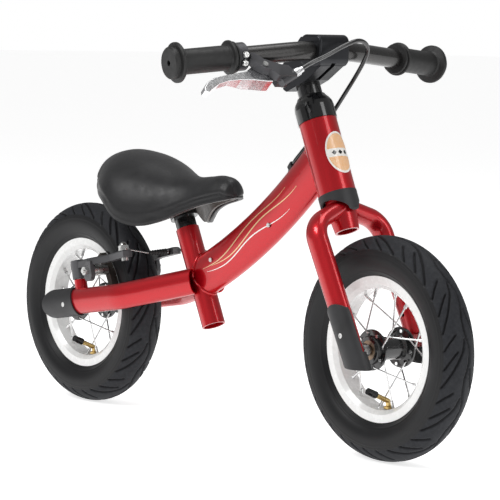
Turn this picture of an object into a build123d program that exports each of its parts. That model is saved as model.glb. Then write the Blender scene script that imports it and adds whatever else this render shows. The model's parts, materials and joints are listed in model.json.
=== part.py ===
from build123d import *
import os
from math import atan2, cos, degrees, hypot, pi, radians, sin, tan

# Child's balance bike, in millimetres.
# Row frame: +X forward, +Y to the rider's left, +Z up. The origin is on the
# ground, midway between the two axles. "at" takes a place counted from the
# rear axle, which is how a frame is drawn.

# ---- driving dimensions -------------------------------------------------
WHEELBASE = 543.0
TYRE_R = 127.0            # 10 x 2 inch tyre, 254 mm across
TYRE_HALF_WIDTH = 25.0
RIM_R = 82.0              # flange radius
RIM_HALF_WIDTH = 15.0
RIM_BED_R = 68.0
RIM_WALL = 2.0
HEAD_ANGLE = 66.2         # steering axis above the ground, degrees
HEAD_LENGTH = 87.5
HEAD_R = 22.0
HEAD_FOOT = (456.5, 293.8)    # x, z of the lower end of the head tube
SEAT_TUBE_TOP = (189.2, 234.4)
SEAT_TUBE_FOOT = (242.8, 121.2)
SEAT_TUBE_R = 14.3
SEAT_POST_R = 12.7
SEAT_FOOT = 24.0          # length of the seat tube's unreamed foot
SEAT_FOOT_R = 12.3
STAY_Y = 51.0             # stays and fork legs stand this far out
LEG_RAKE = 11.8           # axle ahead of the steering axis
AXLE_DROP = 187.5         # axle below the head tube, along the axis
BAR_R = 11.1
BAR_HALF = 203.0
POST_R = 14.0             # handlebar post
STEERER_R = 16.25
ARM_SWING = 5.2           # brake arm swing at full pull, degrees
RUN_FIT = 0.05            # radial clearance of a shaft in its bore
GAP = 0.3                 # between parts that move past each other
SEAT_GAP = 0.1            # between parts that only touch
CABLE_R = 2.5

REAR_X = -WHEELBASE / 2
FRONT_X = WHEELBASE / 2
SIDES = {"right": -1, "left": 1}


def at(x, y, z):
    """A place counted forward of the rear axle, in the row frame."""
    return (x + REAR_X, y, z)


# Steering frame: origin at the head tube's foot, z up the steering axis,
# x forward and square to it, y to the left.
HEAD_COS, HEAD_SIN = cos(radians(HEAD_ANGLE)), sin(radians(HEAD_ANGLE))
STEER = Plane(origin=at(HEAD_FOOT[0], 0, HEAD_FOOT[1]), x_dir=(HEAD_SIN, 0, HEAD_COS),
              z_dir=(-HEAD_COS, 0, HEAD_SIN))
# Side view planes: sketch x forward, sketch y up, extruded towards the right.
SIDE = Plane.XZ
SEAT_DX = SEAT_TUBE_TOP[0] - SEAT_TUBE_FOOT[0]
SEAT_DZ = SEAT_TUBE_TOP[1] - SEAT_TUBE_FOOT[1]
SEAT_LENGTH = hypot(SEAT_DX, SEAT_DZ)
# Seat frame: origin at the seat tube's open foot, z up the tube.
SEAT = Plane(origin=at(SEAT_TUBE_FOOT[0], 0, SEAT_TUBE_FOOT[1]),
             x_dir=(SEAT_DZ, 0, -SEAT_DX), z_dir=(SEAT_DX, 0, SEAT_DZ))


# ---- small helpers ------------------------------------------------------
def rod(r, z0, z1):
    """A round bar along z from z0 to z1."""
    return Pos(0, 0, z0) * Cylinder(r, z1 - z0, align=(Align.CENTER, Align.CENTER, Align.MIN))


def pipe(r, bore, z0, z1):
    return rod(r, z0, z1) - rod(bore, z0 - 1, z1 + 1)


def cross_rod(r, y0, y1):
    """A round bar along y from y0 to y1."""
    return Rot(-90, 0, 0) * rod(r, y0, y1)


def cone_rod(r0, r1, z0, z1):
    return Pos(0, 0, z0) * Cone(r0, r1, z1 - z0, align=(Align.CENTER, Align.CENTER, Align.MIN))


def block(x0, x1, y0, y1, z0, z1):
    return Pos((x0 + x1) / 2, (y0 + y1) / 2, (z0 + z1) / 2) * Box(x1 - x0, y1 - y0, z1 - z0)


def turned(profile, axis=Axis.Z):
    """A solid of revolution from a closed outline of (radius, height) points."""
    return revolve(Plane.XZ * make_face(Polyline(*profile, close=True)), axis)


def wheel_turned(profile):
    """A ring about the y axis from a closed outline of (y, radius) points."""
    face = make_face(Plane.YZ * Polyline(*profile, close=True))
    return revolve(face, Axis.Y)


def slab(outline, y0, y1):
    """A side-view outline of (x, z) points, extruded from y0 to y1."""
    face = make_face(Polyline(*[(x, 0, z) for x, z in outline], close=True))
    return Pos(0, y0, 0) * extrude(face, amount=y1 - y0, dir=(0, 1, 0))


def mirrored(shape):
    return mirror(shape, about=Plane.XZ)


def sided(shape, side):
    """A right-hand part as drawn, or its mirror image for the left."""
    return shape if side == "right" else mirrored(shape)


def swept_oval(points, radii, half_up, half_side, side_dir=(0, 1, 0)):
    """An oval bar along straight runs joined by arcs."""
    path = FilletPolyline(*points, radius=radii)
    start = Plane(origin=path @ 0, x_dir=side_dir, z_dir=path % 0)
    return sweep(start * Ellipse(half_side, half_up), path=path)


def oval_tube(points, radii, half_up, half_side, wall):
    outer = swept_oval(points, radii, half_up, half_side)
    inner = swept_oval(points, radii, half_up - wall, half_side - wall)
    return outer - inner


def route_radii(points):
    """The largest arcs that the runs of a cable's route allow."""
    radii = []
    for a, b, c in zip(points, points[1:], points[2:]):
        first, second = Vector(*b) - Vector(*a), Vector(*c) - Vector(*b)
        half_turn = radians(first.get_angle(second) / 2)
        radii.append(0.45 * min(first.length, second.length) / tan(half_turn))
    return radii


def cable(name, points, r):
    """A round cable along a route, with its arcs' radii printed."""
    radii = route_radii(points)
    path = FilletPolyline(*points, radius=radii)
    start = Plane(origin=path @ 0, z_dir=path % 0)
    body = sweep(start * Circle(r), path=path)
    spread = body.volume / (pi * r * r * path.length)
    print(f"{name}: {path.length:.0f} mm, radii {[round(q) for q in radii]}, volume ratio {spread:.3f}")
    return body


# ---- wheels -------------------------------------------------------------
SPOKES = 16
FIRST_NIPPLE = 103.0      # degrees above forward, a near-side spoke
SPOKE_R = 1.0
NIPPLE_R = 1.9
FLANGE_Y = 22.0
FLANGE_R = 23.0
FLANGE_HOLES_R = 19.0
BEARING_R = 11.0          # 608 bearings, 22 x 8 x 7
AXLE_R = 4.0
HUB_END_Y = 28.0
VALVE_ANGLE = -85.0


def tyre():
    """Casing and tread: a fat C in section, open towards the rim bed."""
    centre_r, casing_r, air_r = TYRE_R - TYRE_HALF_WIDTH, TYRE_HALF_WIDTH, 21.3
    with_air = Circle(casing_r) - Circle(air_r)
    mouth = Pos(0, -19.5) * Rectangle(17, 18)
    flange_room = Pos(0, -31) * Rectangle(60, 22.4)
    beads = [Pos(s * 10.6, -23.6) * RectangleRounded(4.2, 6.4, 1.5) for s in (-1, 1)]
    section = with_air - mouth - flange_room + beads
    walls = [Pos(s * 10.6, -20.3) * Rectangle(4.2, 6) for s in (-1, 1)]
    section = section + walls
    return revolve(Plane.YZ * Pos(0, centre_r) * section, Axis.Y)


def rim():
    """Single-wall box rim with a well for the beads."""
    w, t = RIM_HALF_WIDTH, RIM_WALL
    outline = [(-w, RIM_R), (-w, 73), (-w + 4, RIM_BED_R), (w - 4, RIM_BED_R), (w, 73), (w, RIM_R),
               (w - t, RIM_R), (w - t, 73.8), (w - 4.8, 70), (-w + 4.8, 70), (-w + t, 73.8), (-w + t, RIM_R)]
    ring = wheel_turned(outline)
    for k in range(SPOKES):
        head, start, end = spoke_line(k)
        lean = (end - start).normalized()
        ring -= bar_between(end - lean * 6, end + lean * 4, NIPPLE_R + 0.1)
    return ring - Rot(0, 90 - VALVE_ANGLE, 0) * rod(3.6, RIM_BED_R - 5, RIM_BED_R + 5)


def nipple_angle(k):
    return FIRST_NIPPLE - k * 360 / SPOKES


def wheel_point(r, angle, y):
    return Vector(r * cos(radians(angle)), y, r * sin(radians(angle)))


def bar_between(a, b, r):
    plane = Plane(origin=a, z_dir=b - a)
    return plane * rod(r, 0, (b - a).length)


def spoke_line(k):
    """Head, elbow and outer end of a spoke; they leave alternate flanges, leaning either way."""
    side = -1 if k % 2 == 0 else 1
    lead = 45 if (k // 2) % 2 == 0 else -45
    outward = 1 if lead < 0 else -1
    hub_angle = nipple_angle(k) + lead
    head = wheel_point(FLANGE_HOLES_R, hub_angle, side * (FLANGE_Y - outward * 2.4))
    start = wheel_point(FLANGE_HOLES_R, hub_angle, side * (FLANGE_Y + outward * 2.7))
    end = wheel_point(RIM_BED_R + 2, nipple_angle(k), side * 1.5)
    return head, start, end


def spokes():
    """Crossed spokes, alternately from the two flanges, each with its nipple."""
    lacing = []
    for k in range(SPOKES):
        head, start, end = spoke_line(k)
        neck = end + (start - end).normalized() * 12
        flange_head = bar_between(head, head + (head - start).normalized() * 0.9, 2.0)
        path = FilletPolyline(head, start, end, radius=1.9)
        wire = sweep(Plane(origin=head, z_dir=start - head) * Circle(SPOKE_R), path=path)
        lacing.append(wire + flange_head + bar_between(neck, end, NIPPLE_R))
    return Compound(children=lacing)


def hub():
    """Turned shell: two flanges on a slim barrel, a bearing seat in each end."""
    half = [(6, 0), (13, 0), (13, 14), (15, 18), (FLANGE_R - 2, FLANGE_Y - 1.5), (FLANGE_R, FLANGE_Y - 1.2),
            (FLANGE_R, FLANGE_Y + 1.2), (FLANGE_R - 1, FLANGE_Y + 1.5), (16.5, FLANGE_Y + 1.5),
            (15.5, HUB_END_Y - 0.8), (14.7, HUB_END_Y), (BEARING_R + SEAT_GAP, HUB_END_Y),
            (BEARING_R + SEAT_GAP, HUB_END_Y - 7.6), (8, HUB_END_Y - 7.6), (6, 16)]
    left = [(y, r) for r, y in half]
    right = [(-y, r) for r, y in half]
    shell = wheel_turned(left) + wheel_turned(right)
    for k in range(SPOKES):
        head, start, end = spoke_line(k)
        along = (start - head).normalized()
        shell -= bar_between(head - along * 1.2, head, 2.2)
        shell -= bar_between(head - along, start + along * 2, SPOKE_R + 0.25)
        shell -= bar_between(start, start + (end - start).normalized() * 12, SPOKE_R + 0.15)
        shell -= Pos(*start) * Sphere(2.7)
    return shell


def bearings():
    """Two sealed ball bearings, each with a shield groove on its outer face."""
    rings = []
    for s in (-1, 1):
        ring = pipe(BEARING_R, AXLE_R + RUN_FIT, HUB_END_Y - 7.4, HUB_END_Y - 0.4)
        ring -= pipe(8.6, 6.2, HUB_END_Y - 1.0, HUB_END_Y)
        rings.append(Rot(-90 * s, 0, 0) * ring)
    return Compound(children=rings)


def inner_tube():
    """Air tube with its valve stem, which leaves the rim and bends to the right."""
    ring_r = TYRE_R - TYRE_HALF_WIDTH + 1.5
    sections = [RectangleRounded(2 * r, 2 * r, r - 0.2) for r in (19.2, 18.0)]
    outer, inner = [revolve(Plane.YZ * Pos(0, ring_r) * section, Axis.Y) for section in sections]
    foot, rise, tip = valve_line()
    stem_path = FilletPolyline(foot, rise, tip, radius=7)
    stem = sweep(Plane(origin=foot, z_dir=rise - foot) * Circle(3.1), path=stem_path)
    return outer + stem - inner


def valve_line():
    """The stem's foot in the tube, its bend and its tip."""
    foot = wheel_point(88, VALVE_ANGLE, 0)
    bend = wheel_point(59, VALVE_ANGLE, 0)
    tip = wheel_point(50.5, VALVE_ANGLE, -19)
    return foot, bend, tip


def valve_cap():
    foot, bend, tip = valve_line()
    along = (tip - bend).normalized()
    plane = Plane(origin=tip - along * 1.0, z_dir=along)
    cap = cone_rod(4.3, 3.9, 1.1, 14) - rod(2.6, 1.0, 10)
    grooves = [Rot(0, 0, 30 * k) * Pos(4.6, 0, 3) * rod(0.6, 0, 9) for k in range(12)]
    return plane * (cap - grooves)


# ---- frame --------------------------------------------------------------
TUBE_UP = 25.6            # main tube, half height and half width
TUBE_SIDE = 14.5
TUBE_WALL = 1.8
TUBE_START = (214.0, 174.5)
TUBE_MIDDLE = (318.0, 236.0)
TUBE_END = (440.0, 344.0)
STAY_UP = 16.0
STAY_SIDE = 10.0
STAY_WALL = 1.6
STAY_TAIL = (14.0, 129.5)
STAY_BEND = (122.0, 147.6)
STAY_HEAD = (226.0, 174.5)
STAY_HEAD_Y = 19.0
PIVOT = (38.0, 46.0, 150.0)   # brake boss, x, y and the foot of its post
ARM_SLOPE = 14.0          # the brake arms' plane rises forward, degrees
DROPOUT_Y = (47.0, 52.0)
CLAMP_TURN = -40.8        # the seat clamp's ears face the left rear


def main_tube_path():
    start, middle, end = [at(x, 0, z) for x, z in (TUBE_START, TUBE_MIDDLE, TUBE_END)]
    return ThreePointArc(start, middle, end)


def main_tube_bar(up, side):
    path = main_tube_path()
    start = Plane(origin=path @ 0, x_dir=(0, 1, 0), z_dir=path % 0)
    return sweep(start * Ellipse(side, up), path=path)


def main_tube():
    """Curved oval down tube, mitred to the seat tube and the head tube."""
    tube = main_tube_bar(TUBE_UP, TUBE_SIDE) - main_tube_bar(TUBE_UP - TUBE_WALL, TUBE_SIDE - TUBE_WALL)
    tube -= SEAT * rod(SEAT_TUBE_R + 0.02, -60, SEAT_LENGTH + 40)
    behind_seat_tube = SEAT * block(-80, 0, -40, 40, -60, 200)
    ahead_of_head_tube = STEER * block(0, 80, -40, 40, -60, 160)
    tube -= STEER * rod(HEAD_R + 0.02, -60, 160)
    for x, z in RIVETS:
        tube -= Pos(*at(x, 0, z)) * cross_rod(2.7, -20, 0)
    return tube - behind_seat_tube - ahead_of_head_tube


def seat_tube():
    """Seat tube, reamed for the post above an unreamed foot, with a slit clamp at its top."""
    tube = pipe(SEAT_TUBE_R, SEAT_FOOT_R, 0, SEAT_LENGTH)
    ears = block(-SEAT_TUBE_R - 11, -SEAT_TUBE_R + 2, -7.5, 7.5, SEAT_LENGTH - 22, SEAT_LENGTH - 8)
    ears = fillet(ears.edges().filter_by(Axis.Y), 3)
    tube += ears
    tube -= rod(SEAT_POST_R + SEAT_GAP, SEAT_FOOT, SEAT_LENGTH + 1)
    tube -= block(-40, -5, -1.2, 1.2, SEAT_LENGTH - 30, SEAT_LENGTH + 1)
    bolt_axis = Pos(-SEAT_TUBE_R - 5.5, 0, SEAT_LENGTH - 15)
    return SEAT * Rot(0, 0, CLAMP_TURN) * (tube - bolt_axis * cross_rod(2.6, -20, 20))


def seat_clamp_bolt():
    bolt = cross_rod(2.5, -8, 8) + cross_rod(4.4, -11.5, -7.6) + cross_rod(4.2, 7.6, 11)
    bolt -= cross_rod(2.0, -12, -9.2)
    return SEAT * Rot(0, 0, CLAMP_TURN) * Pos(-SEAT_TUBE_R - 5.5, 0, SEAT_LENGTH - 15) * bolt


def head_tube():
    return STEER * pipe(HEAD_R, HEAD_R - 2.5, 0, HEAD_LENGTH)


def head_bearings():
    """Bushes pressed into the two ends of the head tube."""
    bush = pipe(HEAD_R - 2.5 - 0.02, STEERER_R + RUN_FIT, 0.2, 11)
    return Compound(children=[STEER * bush, STEER * Pos(0, 0, HEAD_LENGTH - 11.2) * bush])


def steering_collar():
    """Cup under the head tube, arched over each fork leg. Its front and rear
    tongues stop the legs, so that the bars can't turn too far."""
    cup = pipe(22.5, STEERER_R + 0.6, -5, -SEAT_GAP) + pipe(22.5, 19.8, -33, -5)
    arch = Pos(0, 0, -23) * Rot(90, 0, 0) * extrude(Ellipse(21.2, 14.6), amount=30, both=True)
    below = block(-21.2, 21.2, -30, 30, -40, -23)
    cup -= arch + below
    taper = cone_rod(14, 24.5, -40, -20) + rod(24.5, -20.1, 1)
    return STEER * (cup & taper)


def stay_points():
    tail = at(STAY_TAIL[0], -STAY_Y, STAY_TAIL[1])
    bend = at(STAY_BEND[0], -STAY_Y, STAY_BEND[1])
    head = at(STAY_HEAD[0], -STAY_HEAD_Y, STAY_HEAD[1])
    return [tail, bend, head]


def stay_slope():
    return degrees(atan2(STAY_BEND[1] - STAY_TAIL[1], STAY_BEND[0] - STAY_TAIL[0]))


def brake_post(r, low, high):
    """A post along the brake arm's pivot, on the right-hand stay."""
    return Pos(*at(PIVOT[0], -PIVOT[1], PIVOT[2])) * Rot(0, -ARM_SLOPE, 0) * rod(r, low, high)


def chainstay(side):
    """Oval stay with its dropout plate and the boss that carries the brake."""
    radii = [70]
    stay = oval_tube(stay_points(), radii, STAY_UP, STAY_SIDE, STAY_WALL)
    stay -= SEAT * rod(SEAT_TUBE_R + 0.02, -60, 200)
    stay -= main_tube_bar(TUBE_UP + 0.02, TUBE_SIDE + 0.02)
    stay -= block(*sorted((at(236, 0, 0)[0], at(300, 0, 0)[0])), -60, 60, 0, 400)
    bulk = swept_oval(stay_points(), radii, STAY_UP - STAY_WALL / 2, STAY_SIDE - STAY_WALL / 2)
    boss = brake_post(8, -20, 11) - brake_post(4.1, 0.5, 12) - bulk
    plate = block(REAR_X - 12, REAR_X + 40, -DROPOUT_Y[1], -DROPOUT_Y[0], TYRE_R - 13, TYRE_R + 12.5)
    plate = fillet(plate.edges().filter_by(Axis.Y), 9) & Pos(0, -30, 0) * cap_outline(STAY_UP - 1.2)
    plate -= Pos(REAR_X, 0, TYRE_R) * cross_rod(AXLE_R + 0.2, -60, 0)
    stay -= Pos(*at(CAP_SCREW[0], 0, CAP_SCREW[1])) * cross_rod(1.7, -70, -STAY_Y)
    return sided(stay + boss + plate, side)


# ---- plastic covers over the axle ends ----------------------------------
COVER_WALL = 2.2
COVER_FLOOR = 109.0       # height of the fork covers' cut-off ends
CAP_END_X = -4.0
CAP_SCREW = (21.6, 128.5)
CONE_R = 8.0


def stay_centre_z(x):
    return STAY_TAIL[1] + (x - STAY_TAIL[0]) * tan(radians(stay_slope()))


def stay_bar(up, side):
    """The stay's straight tail, run on past the axle, as a solid oval bar."""
    far = Vector(*at(-40, -STAY_Y, stay_centre_z(-40)))
    near = Vector(*at(90, -STAY_Y, stay_centre_z(90)))
    plane = Plane(origin=far, x_dir=(0, 1, 0), z_dir=near - far)
    return plane * extrude(Ellipse(side, up), amount=(near - far).length)


def cap_outline(reach):
    """Side view of an end cap that stands "reach" off the stay's centreline."""
    rise = reach / cos(radians(stay_slope()))
    top = [at(x, 0, stay_centre_z(x) + rise) for x in (CAP_END_X, 31)]
    foot = [at(x, 0, stay_centre_z(x) - rise) for x in (46, CAP_END_X)]
    body = make_face(Polyline(*top, *foot, close=True))
    end = SIDE * Pos(REAR_X + CAP_END_X, stay_centre_z(CAP_END_X)) * Circle(reach)
    return extrude(body, amount=40, dir=(0, -1, 0)) + extrude(end, amount=40, dir=(0, -1, 0))


def rear_end_cap(side):
    """Shell over the stay's tail, the dropout and the axle nut."""
    up, out = STAY_UP + COVER_WALL, STAY_SIDE + COVER_WALL
    room = stay_bar(STAY_UP + SEAT_GAP, STAY_SIDE + SEAT_GAP)
    shell = Pos(0, -30, 0) * cap_outline(up + 0.5) & stay_bar(up, out)
    shell -= Pos(0, -30, 0) * cap_outline(STAY_UP + 0.6) & room
    shell -= block(REAR_X + 30, REAR_X + 60, -70, -30, 100, 170) & room
    axle_room = Pos(REAR_X, 0, TYRE_R) * cross_rod(CONE_R + 1.5, -48, -30)
    boss_room = brake_post(8.4, -30, 40)
    screw_room = Pos(*at(CAP_SCREW[0], 0, CAP_SCREW[1])) * cross_rod(3.2, -80, -55)
    return sided(shell - axle_room - boss_room - screw_room, side)


LEG_A = (1.5, -24.0)      # fork legs in the steering frame, x and z
LEG_B = (2.5, -36.0)
LEG_UP = 10.0             # half depth sideways
LEG_SIDE = 14.0           # half width fore and aft
LEG_WALL = 1.8
LEG_END = -197.0
LEG_SOLID = -170.0        # the legs are solid below this height
STEERER_FOOT = -45.0
COVER_SCREW_Z = -168.0


def leg_x(z):
    """Fore and aft place of the leg's centreline at a depth below the head tube."""
    return LEG_B[0] + (LEG_RAKE - LEG_B[0]) * (LEG_B[1] - z) / (LEG_B[1] + AXLE_DROP)


def leg_bar(up, side):
    root = (LEG_A[0], -4.0, -17.0)
    shoulder = (LEG_B[0], -STAY_Y, LEG_B[1])
    foot = (leg_x(LEG_END - 30), -STAY_Y, LEG_END - 30)
    path = FilletPolyline(root, shoulder, foot, radius=27)
    start = Plane(origin=path @ 0, x_dir=(1, 0, 0), z_dir=path % 0)
    return sweep(start * Ellipse(side, up), path=path)


def axle_place():
    return Pos(LEG_RAKE, 0, -AXLE_DROP)


def fork_leg(side):
    """One blade of the fork. Its foot is solid and pressed flat for the axle."""
    hollow = leg_bar(LEG_UP - LEG_WALL, LEG_SIDE - LEG_WALL) - block(-60, 60, -90, 0, LEG_END - 60, LEG_SOLID)
    leg = leg_bar(LEG_UP, LEG_SIDE) - hollow - rod(STEERER_R + 0.02, -90, 30)
    leg -= block(-60, 60, -90, 0, LEG_END - 60, LEG_END)
    inner, outer = DROPOUT_Y
    leg -= axle_place() * (block(-30, 30, -inner, -30, -30, 13) + block(-30, 30, -70, -outer, -30, 13))
    leg -= axle_place() * cross_rod(AXLE_R + 0.2, -60, 0)
    leg -= Pos(leg_x(-150), 0, -150) * cross_rod(2.2, -47, -38)
    leg -= Pos(leg_x(COVER_SCREW_Z), 0, COVER_SCREW_Z) * cross_rod(1.7, -70, -STAY_Y)
    return STEER * sided(leg, side)


def fork_steerer():
    """Steering tube, with its slimmer open foot below the crown."""
    outline = [(14.06, -26), (STEERER_R, -26), (STEERER_R, 104), (POST_R + 0.06, 104)]
    tube = turned(outline)
    foot = turned([(11.5, STEERER_FOOT), (14.2, STEERER_FOOT), (STEERER_R, -26), (14.06, -26), (11.5, -32)])
    return STEER * (tube + foot)


def fork_cover(side):
    """Shell over a leg's foot: it wraps the outer half of the leg and closes
    under the dropout, with a flat end parallel to the ground."""
    def oval(extra, z0, z1):
        low = Vector(leg_x(z0), -STAY_Y, z0)
        high = Vector(leg_x(z1), -STAY_Y, z1)
        plane = Plane(origin=low, x_dir=(1, 0, 0), z_dir=high - low)
        return plane * extrude(Ellipse(LEG_SIDE + extra, LEG_UP + extra), amount=(high - low).length)

    top = -148.0
    outer = oval(COVER_WALL, -240, -120)
    side_view = block(-60, 60, -90, 0, -240, top)
    side_view += Pos(leg_x(top), 0, top) * cross_rod(LEG_SIDE + COVER_WALL, -90, 0)
    hug = block(-60, 60, -90, -STAY_Y - 1.0, -240, 0) + block(-60, 60, -90, 0, -240, -AXLE_DROP - 5)
    shell = STEER * (outer & side_view & hug)
    shell -= STEER * oval(0.4, -240, -100) - block(-400, 600, -90, 0, 0, COVER_FLOOR + 2.5)
    shell -= block(-400, 600, -90, 0, 0, COVER_FLOOR)
    shell -= STEER * axle_place() * cross_rod(CONE_R + 1.5, -DROPOUT_Y[0], -30)
    shell -= STEER * Pos(leg_x(COVER_SCREW_Z), 0, COVER_SCREW_Z) * cross_rod(3.2, -80, -55)
    return sided(shell, side)


def cover_screws():
    """One countersunk screw through each fork cover."""
    screw = cross_rod(2.9, -STAY_Y - 11.6, -STAY_Y - 10.2) + cross_rod(1.6, -STAY_Y - 10.3, -STAY_Y - 4)
    screw -= block(-1.8, 1.8, -STAY_Y - 12, -STAY_Y - 10.8, -0.4, 0.4)
    screw = STEER * Pos(leg_x(COVER_SCREW_Z), 0, COVER_SCREW_Z) * screw
    return Compound(children=[screw, mirrored(screw)])


def headset_cap():
    """Glossy domed cap over the head tube's upper end."""
    outline = [(STEERER_R + 0.05, HEAD_LENGTH + GAP), (23, HEAD_LENGTH + GAP), (23, 104), (22.3, 108.5),
               (20.3, 112.5), (17.6, 116), (16.4, 118.3), (POST_R + GAP, 118.3), (POST_R + GAP, 104.2),
               (STEERER_R + 0.05, 104.2)]
    return STEER * turned(outline)


def axle_set():
    """Axle with a cone, a lock nut and an outer nut on each side."""
    axle = cross_rod(AXLE_R, -59, 59)
    pieces = [axle]
    for s in (-1, 1):
        inner, outer = DROPOUT_Y
        cone = Rot(-90 * s, 0, 0) * (cone_rod(6.0, CONE_R, HUB_END_Y + 0.1, HUB_END_Y + 4)
                                    + rod(CONE_R, HUB_END_Y + 4, HUB_END_Y + 12))
        lock = Rot(-90 * s, 0, 0) * extrude(Pos(0, 0, HUB_END_Y + 12.1) * RegularPolygon(CONE_R - 0.2, 6),
                                           amount=inner - HUB_END_Y - 12.2)
        nut = Rot(-90 * s, 0, 0) * extrude(Pos(0, 0, outer + 0.1) * RegularPolygon(7.2, 6), amount=5.6)
        pieces += [piece - cross_rod(AXLE_R + 0.03, -70, 70) for piece in (cone, lock, nut)]
    return Compound(children=pieces)


# ---- handlebar, stem and brake lever ------------------------------------
BAR_CENTRE = (430.0, 455.0)
BAR_BEND_Y = 38.0
BAR_END = (403.0, 440.0)
GRIP_R = 14.25
GRIP_START = 124.0
STEM_LOW = 132.5
POST_TOP = 168.0
LEVER_Y = -114.0          # the lever clamp's place along the bar
LEVER_DIP = 45.0          # the lever's plane dips forward by this angle


def bar_axis_point(y):
    """Centre of the swept part of the bar at a distance from the middle."""
    t = (abs(y) - BAR_BEND_Y) / (BAR_HALF - BAR_BEND_Y)
    x = BAR_CENTRE[0] + (BAR_END[0] - BAR_CENTRE[0]) * t
    z = BAR_CENTRE[1] + (BAR_END[1] - BAR_CENTRE[1]) * t
    return Vector(*at(x, y, z))


def bar_plane(y):
    """A plane square to the bar, with z pointing outwards along it."""
    outward = bar_axis_point(BAR_HALF * (1 if y > 0 else -1)) - bar_axis_point(y * 0.5)
    return Plane(origin=bar_axis_point(y), x_dir=(outward.Y, -outward.X, 0), z_dir=outward)


def handlebar_tube():
    right, left = bar_axis_point(-BAR_HALF), bar_axis_point(BAR_HALF)
    bends = [Vector(*at(BAR_CENTRE[0], y, BAR_CENTRE[1])) for y in (-BAR_BEND_Y, BAR_BEND_Y)]
    path = FilletPolyline(right, bends[0], bends[1], left, radius=150)
    start = Plane(origin=path @ 0, z_dir=path % 0)
    return sweep(start * Circle(BAR_R), path=path) - sweep(start * Circle(BAR_R - 1.6), path=path)


def grip(side):
    """Rubber grip: ringed inner flange, slim barrel, wide outer flange, end cap."""
    length = (bar_axis_point(BAR_HALF) - bar_axis_point(GRIP_START)).length
    outline = [(BAR_R + 0.02, 0), (17.2, 0), (17.8, 0.6), (17.8, 2.4), (16.8, 3.0), (16.8, 3.8), (18.9, 4.4),
               (19.5, 5.2), (19.5, 6.8), (18.6, 7.6), (15.6, 8.6), (GRIP_R, 10.5), (GRIP_R, length - 13),
               (15.4, length - 11), (21.4, length - 9.4), (22.5, length - 8.4), (22.5, length - 6),
               (21.2, length - 5), (17.8, length - 4.4), (17.8, length + 1), (16.6, length + 2.4),
               (3.2, length + 2.4), (3.2, length + 0.4), (BAR_R + 0.02, length + 0.4)]
    body = turned(outline)
    return sided(bar_plane(-GRIP_START) * body, side)


def stem():
    """Forged stem: bar block, sloping neck with a slot, split collar on the post."""
    bar = Vector(*at(BAR_CENTRE[0], 0, BAR_CENTRE[1]))
    head = Pos(bar.X, 0, bar.Z + 1) * Box(35, 45, 36)
    head = fillet(head.edges().filter_by(Axis.Y), 9)
    head = fillet(head.edges().group_by(Axis.Y)[0] + head.edges().group_by(Axis.Y)[-1], 2.5)
    neck = slab([(48, 138), (17, STEM_LOW), (-19, STEM_LOW), (-23, 137), (-23, 150), (-17, 163), (28, 182),
                 (50, 160)], -17.5, 17.5)
    neck = fillet(neck.edges().filter_by(Axis.Y), 3)
    body = head + STEER * neck
    slot = slab([(18, 125), (52, 132), (48, 147), (17, 143)], -3, 3)
    split = block(-30, -POST_R + 3, -1.2, 1.2, STEM_LOW - 1, 160)
    bolt_hole = Pos(-19, 0, 142) * cross_rod(2.6, -30, 30)
    body -= STEER * (slot + split + bolt_hole + rod(POST_R + 0.04, STEM_LOW - 5, POST_TOP + 0.5))
    return body - Pos(bar.X, 0, bar.Z) * cross_rod(BAR_R + 0.04, -30, 30)


def stem_bolts():
    """The collar's pinch bolt, a socket head on the right and a nut on the left."""
    pinch = cross_rod(2.5, -16.8, 17) + cross_rod(4.2, -20.8, -17.6) + cross_rod(2.5, -18, -16)
    pinch += cross_rod(4.0, 17.6, 20.4) + cross_rod(2.5, 16, 18)
    pinch -= cross_rod(2.0, -22, -18.6)
    return STEER * Pos(-19, 0, 142) * pinch


def stem_post():
    """Black handlebar post. It slides in the steerer to set the bar's height."""
    return STEER * pipe(POST_R, POST_R - 2, 22, POST_TOP)


# Lever frame: origin on the bar's axis, x dips forward in the lever's plane,
# y towards the rider's left, z up and forward, square to the plane.
DIP_COS, DIP_SIN = cos(radians(LEVER_DIP)), sin(radians(LEVER_DIP))
LEVER = Plane(origin=bar_axis_point(LEVER_Y), x_dir=(DIP_COS, 0, -DIP_SIN), z_dir=(DIP_SIN, 0, DIP_COS))
LEVER_PIVOT = (25.5, 11.0)
LEVER_TOP = 4.2           # the lever's upper face, just under the perch
LEVER_DEPTH = 12.0        # its root reaches this far below the bar's axis
PERCH = 4.5               # underside of the perch
BARREL = (39.0, 42.0, 8.0)    # root of the cable's barrel, in the lever frame
BARREL_DIR = (-0.3, 0.9, 0.3)
BARREL_PLANE = Plane(LEVER * Plane(origin=BARREL, z_dir=BARREL_DIR))


def lever_bracket():
    """Clamp band on the bar and the perch that holds the lever and the cable."""
    along_bar = bar_plane(LEVER_Y)
    arm_plan = [(8, -1), (15, -3), (24, 0), (31, 8), (33, 16), (42, 22), (42, 50), (28, 52), (25, 34), (17, 14),
                (8, 6)]
    arm = extrude(Pos(0, 0, PERCH) * make_face(Polyline(*arm_plan, close=True)), amount=10)
    arm = fillet(arm.edges().filter_by(Axis.Z).group_by(Axis.X)[-1], 3)
    heel = block(28, 40, 30, 46, -7, PERCH + 1)
    body = along_bar * rod(16, -1.5, 9.5) + LEVER * (arm + heel) + BARREL_PLANE * rod(5.6, -13, 8)
    for spot in clamp_screw_spots():
        body = body + spot * rod(4.3, -7, 0) - spot * rod(4.1, 0, 16)
    body -= LEVER * Pos(*LEVER_PIVOT) * rod(2.05, -20, 20)
    body -= BARREL_PLANE * (rod(3.1, -6, 10) + rod(14, 8.2, 40))
    return body - along_bar * rod(BAR_R + 0.04, -12, 12)


def clamp_screw_spots():
    """Places of the two clamp screws on the band's front, with z pointing out of it."""
    spots = []
    for rise, outwards in ((9, 4.0), (-21, 5.0)):
        spots.append(bar_plane(LEVER_Y) * Rot(0, 0, 180 + rise) * Pos(17.2, 0, outwards) * Rot(0, 90, 0))
    return spots


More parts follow.
